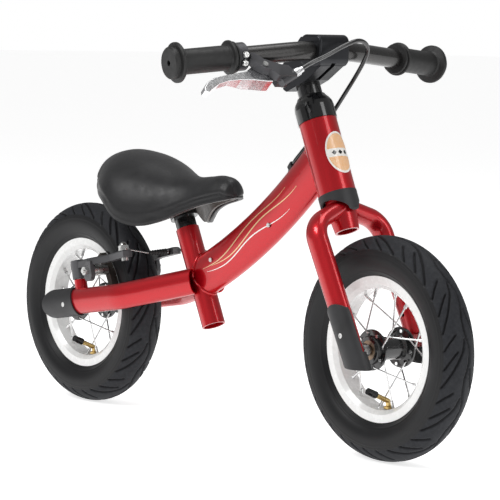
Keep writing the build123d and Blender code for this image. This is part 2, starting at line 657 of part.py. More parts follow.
def lever_screws():
    """Two cross-head clamp screws and the lever's pivot pin."""
    head = cone_rod(3.9, 3.0, 0, 2.2) - block(-2.1, 2.1, -0.4, 0.4, 1.2, 3) - block(-0.4, 0.4, -2.1, 2.1, 1.2, 3)
    screws = [spot * head for spot in clamp_screw_spots()]
    pin = rod(2.0, -LEVER_DEPTH - 1.8, 14.8) + rod(3.4, 14.6, 16.2)
    pin += rod(3.0, -LEVER_DEPTH - 1.7, -LEVER_DEPTH - 0.3)
    screws.append(LEVER * Pos(*LEVER_PIVOT) * pin)
    return Compound(children=screws)


def brake_lever():
    """Two-finger blade: deep at the pivot, slim along the grip, hooked at its end."""
    plan = [(22, 24), (20, 14), (20, 0), (26, -10), (28.5, -24), (32, -44), (36, -62), (43, -76), (50, -84),
            (55, -86), (57.5, -82), (52, -73), (45, -60), (40.5, -44), (38.5, -24), (39, -6), (41, 12), (41, 20),
            (36, 25)]
    blade = extrude(Pos(0, 0, -LEVER_DEPTH) * make_face(Polyline(*plan, close=True)), amount=LEVER_DEPTH + LEVER_TOP)
    side_view = [(0, 28, LEVER_TOP), (0, 28, -7), (0, 19, -LEVER_DEPTH), (0, -18, -LEVER_DEPTH), (0, -42, -4.4),
                 (0, -92, -4.4), (0, -92, LEVER_TOP)]
    blade &= Pos(10, 0, 0) * extrude(make_face(Polyline(*side_view, close=True)), amount=60, dir=(1, 0, 0))
    blade = fillet(blade.edges().group_by(Axis.Z)[-1], 1.2)
    blade -= Pos(*LEVER_PIVOT) * rod(2.0 + RUN_FIT, -20, 20)
    return LEVER * blade


def barrel_adjuster():
    """Knurled screw that takes up the cable's slack."""
    barrel = rod(3.0, -4, 8.4) + rod(5.0, 8.4, 15.5) + rod(3.7, 15.5, 21)
    barrel -= rod(1.0, -10, 30) + rod(CABLE_R + 0.1, 16.5, 30)
    for k in range(10):
        barrel -= Rot(0, 0, 36 * k) * Pos(5.2, 0, 9.4) * rod(0.7, 0, 5)
    return BARREL_PLANE * barrel


# ---- rear brake ---------------------------------------------------------
ARM_TIP = 84.0            # pivot to cable, along the arm
ARM_TIP_IN = 16.0         # the tip stands this much nearer the wheel than the pivot
ARM_FOOT = 12.0           # underside of the arm's pivot block above the post's foot
ARM_MID = 29.0            # middle of the arm's thickness above the post's foot
PAD_ANGLE = 38.0          # the pads meet the rim at this angle above forward
PAD_R = 77.0
NOODLE_BEND = (-0.5, 16.0, 0.5)   # corner and cable mouth of the noodle, from the left arm's tip
NOODLE_END = (26.0, 13.0, 3.0)
WIRE_END = 24.5           # the bare wire stops this far from the left arm's tip, inside the boot

# Brake frame: origin at the right pivot post's foot, x forward along the arm,
# y to the left, z up the pivot.
BRAKE = Plane(origin=at(PIVOT[0], -PIVOT[1], PIVOT[2]),
              x_dir=(cos(radians(ARM_SLOPE)), 0, sin(radians(ARM_SLOPE))),
              z_dir=(-sin(radians(ARM_SLOPE)), 0, cos(radians(ARM_SLOPE))))


def opened(shape):
    """Swing a part drawn with the pads on the rim back to the brake's rest."""
    return Rot(0, 0, -ARM_SWING) * shape


def pad_spot():
    """Where the pad's post passes the arm, in the brake frame."""
    t = radians(PAD_ANGLE)
    spot = BRAKE.to_local_coords(Vector(REAR_X + PAD_R * cos(t), -PIVOT[1], TYRE_R + PAD_R * sin(t)))
    return spot.X, spot.Z


def brake_arm(side):
    """Forged arm with its pivot block, the ear for the pad and the cable end."""
    block_part = rod(9.5, ARM_FOOT, ARM_MID + 6)
    plan = [(-9, -6), (30, -6), (60, ARM_TIP_IN - 7), (ARM_TIP + 8, ARM_TIP_IN - 7), (ARM_TIP + 10, ARM_TIP_IN),
            (ARM_TIP + 8, ARM_TIP_IN + 6), (62, ARM_TIP_IN + 4), (30, 6), (-9, 6)]
    bar = extrude(Pos(0, 0, ARM_MID - 4.5) * make_face(Polyline(*plan, close=True)), amount=9)
    bar = chamfer(bar.edges().group_by(Axis.Z)[-1], 1.5)
    ear_x, post_z = pad_spot()
    ear = block(ear_x - 9, ear_x + 9, -6, 0, ARM_MID - 24, ARM_MID)
    ear = fillet(ear.edges().filter_by(Axis.Y).group_by(Axis.Z)[0], 8.5)
    arm = block_part + bar + ear
    arm -= rod(4.0 + RUN_FIT, ARM_FOOT - 5, ARM_MID + 20)
    arm -= Pos(0, 0, ARM_MID + 3) * rod(7.2, 0, 9)
    arm -= Pos(ear_x, 0, post_z) * (cross_rod(3.1, -20, 20) + cross_rod(8, 0, 20))
    if side == "right":
        arm -= Pos(ARM_TIP, ARM_TIP_IN, ARM_MID) * rod(2.6, -10, 10)
    else:
        arm -= Pos(ARM_TIP, 0, ARM_MID) * cross_rod(3.7, -20, 40)
    return BRAKE * opened(arm) if side == "right" else mirrored(BRAKE * opened(arm))


def brake_pad(side):
    """Curved rubber block with water grooves, following the rim."""
    ring = pipe(RIM_R - 0.5, RIM_R - 10, 0.15, 9.0)
    pad = ring & block(PAD_R - 12, PAD_R + 12, -24, 24, 0, 10)
    for k in (-12, 0, 12):
        pad -= block(PAD_R - 12, PAD_R + 12, k - 0.8, k + 0.8, -1, 1.6)
    wheel_side = Plane(origin=(REAR_X, -RIM_HALF_WIDTH, TYRE_R), x_dir=(cos(radians(PAD_ANGLE)), 0,
                       sin(radians(PAD_ANGLE))), z_dir=(0, -1, 0))
    placed = BRAKE.to_local_coords(wheel_side * pad)
    shape = BRAKE * opened(placed)
    return sided(shape, side)


def pad_post(side):
    """Threaded post with its cupped washers and nut, through the arm's ear."""
    x, z = pad_spot()
    reach = -RIM_HALF_WIDTH - 9.0 + PIVOT[1]
    post = cross_rod(3.0, -13, reach - 0.1)
    washers = cross_rod(7.5, 0.1, 3.5) + cross_rod(6.2, 3.5, 7) + cross_rod(7.0, 7, reach - 0.1)
    nut = Rot(90, 0, 0) * extrude(Pos(0, 0, 6.1) * RegularPolygon(5.6, 6), amount=5)
    shape = BRAKE * opened(Pos(x, 0, z) * (post + washers + nut))
    return sided(shape, side)


def pivot_bolts():
    """Shoulder bolts on which the brake arms turn."""
    bolt = rod(4.0, 1, ARM_MID + 4) + rod(6.8, ARM_MID + 3.2, ARM_MID + 6.6)
    bolt -= Pos(0, 0, ARM_MID + 4.6) * extrude(RegularPolygon(2.9, 6), amount=5)
    bolt = BRAKE * bolt
    return Compound(children=[bolt, mirrored(bolt)])


def tip_place(side):
    """The cable end of an arm at rest, in the row frame."""
    local = opened(Pos(ARM_TIP, ARM_TIP_IN, ARM_MID) * Vertex(0, 0, 0))
    spot = BRAKE.from_local_coords(Vector(*local.center()))
    return Vector(spot.X, spot.Y * (1 if side == "right" else -1), spot.Z)


def brake_noodle():
    """Bent steel guide: it crosses the left arm's tip and turns to the front."""
    tip = tip_place("left")
    points = [tip + Vector(0, -9, 0), tip + Vector(*NOODLE_BEND), tip + Vector(*NOODLE_END)]
    path = FilletPolyline(*points, radius=9)
    guide = sweep(Plane(origin=path @ 0, z_dir=path % 0) * (Circle(2.4) - Circle(1.1)), path=path)
    collar = Plane(origin=path @ 1, z_dir=path % 1) * (pipe(3.6, CABLE_R + 0.1, -1, 8) + pipe(3.6, 1.1, -6, -1))
    return guide + collar


def brake_boot():
    """Ribbed rubber bellows over the bare wire between the arms."""
    tip = tip_place("left")
    outline = [(1.0, 0)]
    for k in range(7):
        r = 4.4 - 0.25 * k
        outline += [(r, 4 * k), (r, 4 * k + 2.2), (r - 1.2, 4 * k + 3.1)]
    outline += [(2.1, 28), (1.0, 28)]
    return Plane(origin=tip + Vector(0, -9.2, 0), z_dir=(0, -1, 0)) * turned(outline)


def cable_anchor():
    """Domed clamp nut on the right arm's tip, its bolt, and the bare brake wire."""
    nut = rod(2.5, -8, 9) + extrude(Pos(0, 0, 6.2) * RegularPolygon(6.2, 6), amount=4.5) + rod(6.6, 4.6, 6.3)
    nut += Pos(0, 0, 10.4) * (Sphere(4.9) & rod(6, 0, 8))
    nut += rod(4.6, -8.2, -4.6)
    right, left = tip_place("right"), tip_place("left")
    placed = BRAKE * opened(Pos(ARM_TIP, ARM_TIP_IN, ARM_MID) * nut)
    nut_side = right + Vector(0, -6, 7.9)
    boot_mouth = Vector(left.X, left.Y - 40, left.Z)
    wire = bar_between(nut_side, boot_mouth, 0.8) + bar_between(boot_mouth, left + Vector(0, -WIRE_END, 0), 0.8)
    return placed + wire + Pos(*boot_mouth) * Sphere(0.8)


# ---- saddle -------------------------------------------------------------
# Stations along the saddle: x, half width, crown height, rim height.
SADDLE = [(59, 32, 316, 293), (66, 44, 321, 287), (82, 57, 326, 276), (108, 70, 325, 265), (138, 71, 319, 244),
          (165, 59, 310, 238), (190, 43, 302, 246), (212, 31, 299, 257), (236, 24, 301, 266), (260, 20, 303, 272),
          (276, 15, 299, 276), (283, 8, 291, 279)]
SADDLE_PAD = 15.0         # cover and foam over the base
PAD_WALL = 7.0            # the same at the sides
THIN_END = 18.5           # inside the nose the cover may be thinner, down to this height in all
SADDLE_SHELL = 3.5
POST_IN = 96.0            # seat post inside the seat tube


def saddle_section(x, half, top, low):
    """One cross-section: a crowned top, steep sides and a flat foot."""
    wall, shoulder = low + 0.38 * (top - low), low + 0.72 * (top - low)
    corners = [(-half, low), (-half * 0.95, wall), (-half * 0.74, shoulder), (0, top), (half * 0.74, shoulder),
               (half * 0.95, wall), (half, low)]
    plane = Plane(origin=at(x, 0, 0), x_dir=(0, 1, 0), z_dir=(1, 0, 0))
    crown = Spline(*corners)
    foot = Line(corners[-1], corners[0])
    return plane * make_face([crown, foot])


def saddle_at(x):
    """Half width, crown height and rim height at a place along the saddle."""
    for near, far in zip(SADDLE, SADDLE[1:]):
        if near[0] <= x <= far[0]:
            share = (x - near[0]) / (far[0] - near[0])
            return [a + (b - a) * share for a, b in zip(near[1:], far[1:])]


def saddle_body(inset, drop_top, lower, ends):
    """The saddle's form, shrunk at the sides, the top and the two ends."""
    first, last = SADDLE[0][0] + ends, SADDLE[-1][0] - ends
    stops = [first] + [station[0] for station in SADDLE if first + 5 < station[0] < last - 5] + [last]
    faces = []
    for x in stops:
        half, top, low = saddle_at(x)
        crown = max(top, low + THIN_END) - drop_top if drop_top else top
        faces.append(saddle_section(x, max(half - inset, 3.0), crown, low - lower))
    return loft(faces, ruled=False)


def saddle_pad():
    """Padded cover: a crowned shell that drapes over the base and hides its rim."""
    room = saddle_body(PAD_WALL, SADDLE_PAD, 3.0, 10.0)
    return saddle_body(0, 0, 0, 0) - room


def saddle_base():
    """Moulded base inside the cover, with a boss for the bracket."""
    inset, under = PAD_WALL + 0.8, SADDLE_PAD + 0.8
    shell = saddle_body(inset, under, -1.0, 10.6) - saddle_pad()
    hollow = saddle_body(inset + SADDLE_SHELL, under + SADDLE_SHELL, 3.0, 14.0)
    boss = block(at(150, 0, 0)[0], at(196, 0, 0)[0], -17, 17, 277.2, 320) & shell
    bracket_room = block(at(146, 0, 0)[0], at(204, 0, 0)[0], -17.4, 17.4, 200, 277.2)
    return shell - hollow - bracket_room + boss


def saddle_bracket():
    """Plate bolted under the base, with the sleeve that takes the seat post."""
    plate = block(at(150, 0, 0)[0], at(196, 0, 0)[0], -17, 17, 271, 277)
    plate = fillet(plate.edges().filter_by(Axis.Z), 5)
    sleeve = SEAT * rod(17, SEAT_LENGTH + 14, SEAT_LENGTH + 50)
    sleeve &= block(-400, 400, -40, 40, 0, 275)
    bore = SEAT * rod(SEAT_POST_R + RUN_FIT, SEAT_LENGTH - 10, SEAT_LENGTH + 42)
    return plate + sleeve - bore


def seat_post():
    return SEAT * pipe(SEAT_POST_R, SEAT_POST_R - 1.6, SEAT_LENGTH - POST_IN, SEAT_LENGTH + 40)


# ---- brake cable --------------------------------------------------------
CABLE_SEAM = (424.0, 48.0, 418.0)     # beside the bars, where the free loop starts
CABLE_LIFT = 4.2          # the housing's centre stands this far off the main tube
# Places on the main tube: share of its length, degrees up from its left side.
TUBE_ROUTE = [(0.82, 88), (0.76, 84), (0.68, 56), (0.60, 26), (0.50, 12), (0.30, 8), (0.13, 10)]
# Clips: share of the housing's length, share of the tube's length, degrees up.
CLIPS = [(0.035, 0.78, 86), (0.34, 0.47, 11.5), (0.57, 0.22, 9)]


def tube_frame(share, turn, lift):
    """A plane beside the main tube: x points off its wall and z runs along it."""
    path = main_tube_path()
    along = path % share
    up = along.cross(Vector(0, 1, 0))
    side_part, up_part = cos(radians(turn)), sin(radians(turn))
    wall = (path @ share) + Vector(0, TUBE_SIDE * side_part, 0) + up * (TUBE_UP * up_part)
    out = (Vector(0, side_part / TUBE_SIDE, 0) + up * (up_part / TUBE_UP)).normalized()
    return Plane(origin=wall + out * lift, x_dir=out, z_dir=along)


def route_upper():
    """Housing from the lever's barrel round the stem's front, to the left."""
    mouth = BARREL_PLANE.from_local_coords(Vector(0, 0, 17.5))
    lead = BARREL_PLANE.from_local_coords(Vector(0, 0, 36))
    loop = [(456, -22, 450), (459, 2, 462), (461, 26, 470), (456, 45, 461), (444, 49, 443), CABLE_SEAM]
    return [mouth, lead] + [Vector(*at(*p)) for p in loop]


def route_middle():
    """Free loop from the bars down to the first clip. It bends as the bars turn."""
    loop = [CABLE_SEAM, (411, 46.5, 401), (405, 28, 372), (400, 4, 347)]
    points = [Vector(*at(*p)) for p in loop] + [tube_frame(*TUBE_ROUTE[0], CABLE_LIFT).origin]
    points[0] += (points[1] - points[0]).normalized() * 0.6
    points[-1] += (points[-2] - points[-1]).normalized() * 0.8
    return points


def route_frame():
    """Housing along the main tube, past the seat tube and back to the noodle."""
    on_tube = [tube_frame(share, turn, CABLE_LIFT).origin for share, turn in TUBE_ROUTE]
    past_seat_tube = [Vector(*at(206, 21.5, 201.5)), Vector(*at(176, 39.5, 204))]
    mouth = tip_place("left") + Vector(*NOODLE_END)
    along = (Vector(*NOODLE_END) - Vector(*NOODLE_BEND)).normalized()
    return on_tube + past_seat_tube + [mouth + along * 20, mouth + along * 0.5]


def cable_clips():
    """Three clips riveted to the main tube, each with a ring round the housing."""
    tube = main_tube_bar(TUBE_UP + 0.05, TUBE_SIDE + 0.05)
    points = route_frame()
    path = FilletPolyline(*points, radius=route_radii(points))
    clips = []
    for share, tube_share, turn in CLIPS:
        off_wall = tube_frame(tube_share, turn, 0).x_dir
        clip = rod(4.3, -3.5, 3.5) + block(-CABLE_LIFT - 3, 0, -4.3, 4.3, -3.5, 3.5)
        clip -= rod(CABLE_R + 0.3, -5, 5)
        clips.append(Plane(origin=path @ share, x_dir=off_wall, z_dir=path % share) * clip - tube)
    return Compound(children=clips)


# ---- the frame's small hardware -----------------------------------------
RIVETS = [(355.6, 251.7), (252.2, 202.3)]


def cap_screws():
    head = cross_rod(2.9, -STAY_Y - 12.0, -STAY_Y - 10.3) + cross_rod(1.6, -STAY_Y - 10.4, -STAY_Y - 4)
    screw = Pos(*at(CAP_SCREW[0], 0, CAP_SCREW[1])) * head
    return [screw, mirrored(screw)]


def tube_rivets():
    """Two domed rivets in the main tube's right wall."""
    rivet = cross_rod(1.6, -16, -11) + cross_rod(2.6, -15.6, -14.6)
    return [Pos(*at(x, 0, z)) * rivet for x, z in RIVETS]


def frame_screws():
    return Compound(children=[seat_clamp_bolt(), *pivot_bolts().solids(), *cap_screws(), *tube_rivets()])


# ---- the assembly -------------------------------------------------------
def wheel_nodes(name, x):
    place = Pos(x, 0, TYRE_R)
    makers = {"tyre": tyre, "rim": rim, "spokes": spokes, "hub": hub, "bearings": bearings,
              "inner_tube": inner_tube, "valve_cap": valve_cap}
    return {f"{name}_{key}": place * make() for key, make in makers.items()}


def frame_nodes():
    nodes = {"main_tube": main_tube(), "seat_tube": seat_tube(), "head_tube": head_tube(),
             "frame_screws": frame_screws(), "head_bearings": head_bearings(),
             "steering_collar": steering_collar(), "cable_clips": cable_clips(),
             "brake_cable_rear": cable("rear cable", route_frame(), CABLE_R),
             "rear_axle": Pos(REAR_X, 0, TYRE_R) * axle_set()}
    for side in SIDES:
        nodes[f"chainstay_{side}"] = chainstay(side)
        nodes[f"rear_end_cap_{side}"] = rear_end_cap(side)
    return nodes


def fork_nodes():
    nodes = {"fork_steerer": fork_steerer(), "fork_cover_screws": cover_screws(), "headset_cap": headset_cap(),
             "front_axle": Pos(FRONT_X, 0, TYRE_R) * axle_set(),
             "brake_cable_mid": cable("middle cable", route_middle(), CABLE_R)}
    for side in SIDES:
        nodes[f"fork_leg_{side}"] = fork_leg(side)
        nodes[f"fork_cover_{side}"] = fork_cover(side)
    return nodes


def bar_nodes():
    nodes = {"stem": stem(), "stem_post": stem_post(), "stem_bolts": stem_bolts(),
             "handlebar_tube": handlebar_tube(), "lever_bracket": lever_bracket(), "lever_screws": lever_screws(),
             "barrel_adjuster": barrel_adjuster(), "brake_lever": brake_lever(),
             "brake_cable_upper": cable("upper cable", route_upper(), CABLE_R)}
    for side in SIDES:
        nodes[f"grip_{side}"] = grip(side)
    return nodes


def seat_nodes():
    return {"saddle_pad": saddle_pad(), "saddle_base": saddle_base(), "saddle_bracket": saddle_bracket(),
            "seatpost": seat_post()}


def brake_nodes():
    nodes = {"cable_anchor": cable_anchor(), "brake_noodle": brake_noodle(), "brake_boot": brake_boot()}
    for side in SIDES:
        nodes[f"brake_arm_{side}"] = brake_arm(side)
        nodes[f"brake_pad_{side}"] = brake_pad(side)
        nodes[f"pad_post_{side}"] = pad_post(side)
    return nodes


NODES = {**frame_nodes(), **fork_nodes(), **bar_nodes(), **seat_nodes(), **brake_nodes(),
         **wheel_nodes("rear", REAR_X), **wheel_nodes("front", FRONT_X)}
os.makedirs("parts", exist_ok=True)
for node, shape in NODES.items():
    export_step(shape, f"parts/{node}.step")
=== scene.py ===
import json
from math import cos, pi, radians, sin, sqrt
import bmesh
import bpy
import numpy as np
from mathutils import Matrix, Vector
from mathutils.bvhtree import BVHTree


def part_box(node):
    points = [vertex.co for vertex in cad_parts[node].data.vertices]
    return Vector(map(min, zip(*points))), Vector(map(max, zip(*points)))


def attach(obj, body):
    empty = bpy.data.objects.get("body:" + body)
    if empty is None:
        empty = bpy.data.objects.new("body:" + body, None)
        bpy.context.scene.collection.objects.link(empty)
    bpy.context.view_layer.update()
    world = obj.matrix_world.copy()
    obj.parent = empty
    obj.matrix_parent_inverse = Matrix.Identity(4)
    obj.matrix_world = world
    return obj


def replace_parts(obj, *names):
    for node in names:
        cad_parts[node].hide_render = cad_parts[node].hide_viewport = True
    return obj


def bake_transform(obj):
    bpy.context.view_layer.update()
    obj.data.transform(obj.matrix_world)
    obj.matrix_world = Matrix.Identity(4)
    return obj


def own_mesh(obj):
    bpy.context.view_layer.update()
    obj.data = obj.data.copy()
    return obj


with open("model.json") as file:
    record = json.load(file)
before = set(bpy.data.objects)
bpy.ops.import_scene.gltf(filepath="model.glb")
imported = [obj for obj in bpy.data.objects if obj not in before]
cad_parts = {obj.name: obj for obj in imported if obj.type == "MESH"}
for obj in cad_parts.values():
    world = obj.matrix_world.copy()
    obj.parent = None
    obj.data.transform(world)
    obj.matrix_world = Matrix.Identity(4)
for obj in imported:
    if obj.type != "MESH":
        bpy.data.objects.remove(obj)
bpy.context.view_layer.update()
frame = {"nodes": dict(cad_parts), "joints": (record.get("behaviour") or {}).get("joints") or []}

MM = 0.001
RIGHT, LEFT = -1, 1


# ---- driving places, all in metres in the CAD's frame -------------------
def joint(name):
    return next(j for j in frame["joints"] if j["name"] == name)


def middle(node):
    low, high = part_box(node)
    return (Vector(low) + Vector(high)) / 2


FRONT_AXLE = middle("front_tyre")
REAR_AXLE = middle("rear_tyre")
TYRE_RADIUS = (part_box("front_tyre")[1][2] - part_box("front_tyre")[0][2]) / 2
TYRE_HALF = (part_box("front_tyre")[1][1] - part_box("front_tyre")[0][1]) / 2
STEER_FOOT = Vector(joint("steering")["pos_m"])
STEER_UP = Vector(joint("steering")["axis"]).normalized()
STEER_SIDE = Vector((0, 1, 0))
STEER_AHEAD = STEER_SIDE.cross(STEER_UP)


def steer_point(ahead, side, up):
    """A place in millimetres in the head tube's own frame."""
    return STEER_FOOT + (STEER_AHEAD * ahead + STEER_SIDE * side + STEER_UP * up) * MM


def place(x, y, z):
    """A place in millimetres, counted forward of the rear axle."""
    return Vector((x * MM + REAR_AXLE.x, y * MM, z * MM))


# ---- shader helpers -----------------------------------------------------
class Shader:
    """A material made of a Principled shader and a few texture nodes."""

    def __init__(self, name, **sockets):
        self.material = bpy.data.materials.new(name)
        self.material.use_nodes = True
        self.nodes = self.material.node_tree.nodes
        self.links = self.material.node_tree.links
        self.surface = self.nodes["Principled BSDF"]
        self.where = self.nodes.new("ShaderNodeTexCoord").outputs["Object"]
        for key, value in sockets.items():
            label = "Specular IOR Level" if key == "specular_level" else key.replace("_", " ").title()
            self.surface.inputs[label].default_value = value

    def stretched(self, scale, rotation=(0, 0, 0)):
        """The object's own coordinates, stretched and turned."""
        mapping = self.nodes.new("ShaderNodeMapping")
        mapping.inputs["Scale"].default_value = scale
        mapping.inputs["Rotation"].default_value = rotation
        self.links.new(self.where, mapping.inputs["Vector"])
        return mapping.outputs["Vector"]

    def noise(self, scale, detail=4, where=None, roughness=0.55):
        node = self.nodes.new("ShaderNodeTexNoise")
        node.inputs["Scale"].default_value = scale
        node.inputs["Detail"].default_value = detail
        node.inputs["Roughness"].default_value = roughness
        self.links.new(where or self.where, node.inputs["Vector"])
        return node.outputs["Fac"]

    def cells(self, scale, feature="F1", where=None):
        node = self.nodes.new("ShaderNodeTexVoronoi")
        node.feature = feature
        node.inputs["Scale"].default_value = scale
        self.links.new(where or self.where, node.inputs["Vector"])
        return node.outputs["Distance"]

    def attribute(self, name):
        node = self.nodes.new("ShaderNodeAttribute")
        node.attribute_name = name
        return node.outputs["Fac"]

    def spread(self, value, low, high, to_low=0.0, to_high=1.0):
        node = self.nodes.new("ShaderNodeMapRange")
        node.inputs["From Min"].default_value = low
        node.inputs["From Max"].default_value = high
        node.inputs["To Min"].default_value = to_low
        node.inputs["To Max"].default_value = to_high
        self.links.new(value, node.inputs["Value"])
        return node.outputs["Result"]

    def edges(self, low=0.5, high=0.62):
        """Bright where the surface turns sharply outwards: worn edges on metal, and a painted highlight
        along the cast alloy's edges.
        """
        geometry = self.nodes.new("ShaderNodeNewGeometry")
        return self.spread(geometry.outputs["Pointiness"], low, high)

    def mix(self, share, first, second):
        node = self.nodes.new("ShaderNodeMix")
        node.data_type = "RGBA"
        self.links.new(share, node.inputs["Factor"])
        for socket, value in ((node.inputs[6], first), (node.inputs[7], second)):
            if isinstance(value, tuple):
                socket.default_value = (*value, 1)
            else:
                self.links.new(value, socket)
        return node.outputs[2]

    def colour(self, value):
        self.links.new(value, self.surface.inputs["Base Color"])

    def roughness(self, value):
        self.links.new(value, self.surface.inputs["Roughness"])

    def bump(self, height, distance, strength=1.0):
        node = self.nodes.new("ShaderNodeBump")
        node.inputs["Distance"].default_value = distance
        node.inputs["Strength"].default_value = strength
        self.links.new(height, node.inputs["Height"])
        above = self.surface.inputs["Normal"]
        if above.links:
            self.links.new(above.links[0].from_socket, node.inputs["Normal"])
        self.links.new(node.outputs["Normal"], above)


# ---- materials ----------------------------------------------------------
def candy_red():
    """Metallic base coat under a clear coat, with fine flakes."""
    s = Shader("candy_red", metallic=0.6, roughness=0.30, coat_weight=0.7, coat_roughness=0.03)
    flakes = s.spread(s.cells(2600), 0.15, 0.75)
    tone = s.mix(flakes, (0.62, 0.001, 0.010), (0.42, 0.000, 0.005))
    s.colour(s.mix(s.spread(s.noise(9, 2), 0.3, 0.7, 0, 0.35), tone, (0.48, 0.001, 0.007)))
    s.roughness(s.spread(s.noise(1800, 2), 0.3, 0.7, 0.30, 0.40))
    s.bump(s.noise(260, 2), 0.00002, 0.35)
    return s.material


def moulded(name, tone, lighter, rough, grain=1500, depth=0.00007):
    """Moulded plastic with a fine spark-eroded grain."""
    s = Shader(name, roughness=rough, specular_level=0.45)
    cloud = s.spread(s.noise(35, 3), 0.35, 0.65)
    s.colour(s.mix(cloud, tone, lighter))
    s.roughness(s.spread(s.noise(60, 3), 0.3, 0.7, rough - 0.06, rough + 0.08))
    s.bump(s.cells(grain), depth, 0.5)
    s.bump(s.noise(14, 2), 0.0003, 0.12)
    return s.material


def glossy_black(name="gloss_black", rough=0.13):
    s = Shader(name, roughness=rough, coat_weight=0.6, coat_roughness=0.04)
    s.colour(s.mix(s.noise(40, 3), (0.003, 0.003, 0.003), (0.008, 0.008, 0.009)))
    s.roughness(s.spread(s.noise(90, 4), 0.35, 0.7, rough - 0.05, rough + 0.09))
    s.bump(s.noise(30, 2), 0.0001, 0.15)
    return s.material


def metal(name, tone, rough, brushed=None, spots=0.12, wear=None):
    """Bare or plated metal, with brush marks along one direction if given."""
    s = Shader(name, metallic=1.0, roughness=rough)
    cloud = s.spread(s.noise(55, 4), 0.3, 0.75, 0, spots * 4)
    dark = tuple(c * 0.72 for c in tone)
    base = s.mix(cloud, tone, dark)
    if wear:
        base = s.mix(s.edges(0.51, 0.6), base, wear)
    s.colour(base)
    s.roughness(s.spread(s.noise(240, 4), 0.3, 0.75, max(rough - 0.07, 0.04), rough + 0.12))
    if brushed:
        s.bump(s.noise(220, 5, s.stretched(brushed)), 0.00006, 0.35)
    else:
        s.bump(s.noise(420, 3), 0.00003, 0.3)
    return s.material


def textured_alloy(name="textured_alloy", tone=(0.035, 0.035, 0.037)):
    """Cast alloy under a dark crinkled powder coat, with a painted highlight on its sharp edges."""
    s = Shader(name, metallic=0.25, roughness=0.42, specular_level=0.5)
    light = tuple(c * 1.7 for c in tone)
    # Painted highlight: the sharp outer edges are lightened, standing in for light catching them.
    s.colour(s.mix(s.edges(0.5, 0.6), s.mix(s.noise(80, 3), tone, light), tuple(c * 2.6 for c in tone)))
    s.bump(s.noise(900, 3), 0.00012, 0.45)
    return s.material


def satin_stem():
    s = Shader("satin_stem", metallic=0.85, roughness=0.36)
    s.colour(s.mix(s.noise(50, 3), (0.026, 0.027, 0.030), (0.040, 0.041, 0.045)))
    s.roughness(s.spread(s.noise(300, 3), 0.3, 0.7, 0.30, 0.42))
    s.bump(s.noise(700, 2), 0.00005, 0.35)
    return s.material


def bar_paint():
    """Dark gunmetal paint on the handlebar tube."""
    s = Shader("bar_paint", metallic=0.8, roughness=0.30, coat_weight=0.35, coat_roughness=0.2)
    s.colour(s.mix(s.spread(s.cells(2200), 0.1, 0.8), (0.060, 0.058, 0.056), (0.034, 0.033, 0.033)))
    s.roughness(s.spread(s.noise(500, 2), 0.3, 0.7, 0.26, 0.36))
    s.bump(s.noise(200, 2), 0.00002, 0.4)
    return s.material


def white_enamel():
    """White stove enamel on the rims, a little dirty in the corners."""
    s = Shader("white_enamel", roughness=0.22, coat_weight=0.5, coat_roughness=0.08)
    dirt = s.spread(s.noise(70, 6), 0.56, 0.78, 0, 0.5)
    s.colour(s.mix(dirt, (0.84, 0.84, 0.83), (0.70, 0.69, 0.67)))
    s.roughness(s.spread(s.noise(160, 3), 0.3, 0.7, 0.18, 0.32))
    s.bump(s.noise(120, 2), 0.00003, 0.4)
    return s.material


def tyre_rubber():
    """Tread a little greyer and duller than the walls, with painted shade in its grooves."""
    s = Shader("tyre_rubber", roughness=0.6, specular_level=0.26)
    dusty = s.spread(s.noise(240, 6), 0.35, 0.75)
    tread = s.mix(dusty, (0.012, 0.013, 0.016), (0.022, 0.023, 0.027))
    # Painted shade: the grooves are darkened nearly to black, standing in for the shade inside them.
    tread = s.mix(s.attribute("groove"), tread, (0.003, 0.003, 0.004))
    wall = s.mix(s.noise(60, 4), (0.008, 0.008, 0.009), (0.013, 0.013, 0.014))
    s.colour(s.mix(s.attribute("tread"), wall, tread))
    s.roughness(s.spread(s.attribute("tread"), 0, 1, 0.43, 0.62))
    s.bump(s.noise(1400, 4), 0.00010, 0.55)
    s.bump(s.noise(90, 3), 0.0003, 0.2)
    return s.material


def rubber(name, tone=(0.012, 0.012, 0.012), rough=0.55, grain=1100):
    s = Shader(name, roughness=rough, specular_level=0.45)
    s.colour(s.mix(s.noise(70, 4), tone, tuple(c * 1.8 for c in tone)))
    s.roughness(s.spread(s.noise(130, 4), 0.3, 0.7, rough - 0.07, rough + 0.1))
    s.bump(s.cells(grain), 0.00008, 0.5)
    return s.material


def saddle_cloth():
    """Black coated cloth with a fine leather grain."""
    s = Shader("saddle_cloth", roughness=0.42, specular_level=0.38, sheen_weight=0.08, sheen_roughness=0.5)
    s.colour(s.mix(s.noise(45, 4), (0.006, 0.006, 0.007), (0.011, 0.011, 0.012)))
    s.roughness(s.spread(s.noise(90, 4), 0.3, 0.7, 0.36, 0.50))
    s.bump(s.cells(950, "DISTANCE_TO_EDGE"), 0.00018, 0.35)
    s.bump(s.noise(420, 5), 0.00012, 0.4)
    s.bump(s.noise(22, 2), 0.0006, 0.2)
    return s.material


def brass():
    s = Shader("brass", metallic=1.0, roughness=0.24)
    tarnish = s.spread(s.noise(260, 5), 0.45, 0.8)
    s.colour(s.mix(tarnish, (0.78, 0.56, 0.22), (0.46, 0.30, 0.11)))
    s.roughness(s.spread(s.noise(400, 3), 0.3, 0.7, 0.2, 0.4))
    s.bump(s.noise(500, 3), 0.00003, 0.4)
    return s.material


def printed(name, tone, other, rough=0.35, metallic=0.0):
    """Ink or foil under clear coat."""
    s = Shader(name, roughness=rough, metallic=metallic, coat_weight=0.8, coat_roughness=0.05)
    s.colour(s.mix(s.spread(s.noise(900, 3), 0.4, 0.7), tone, other))
    return s.material


def studio_floor():
    s = Shader("studio_floor", roughness=0.6, specular_level=0.1)
    s.surface.inputs["Emission Color"].default_value = (1, 1, 1, 1)
    s.surface.inputs["Emission Strength"].default_value = 0.70
    s.colour(s.mix(s.noise(3, 2), (0.86, 0.86, 0.86), (0.88, 0.88, 0.88)))
    return s.material


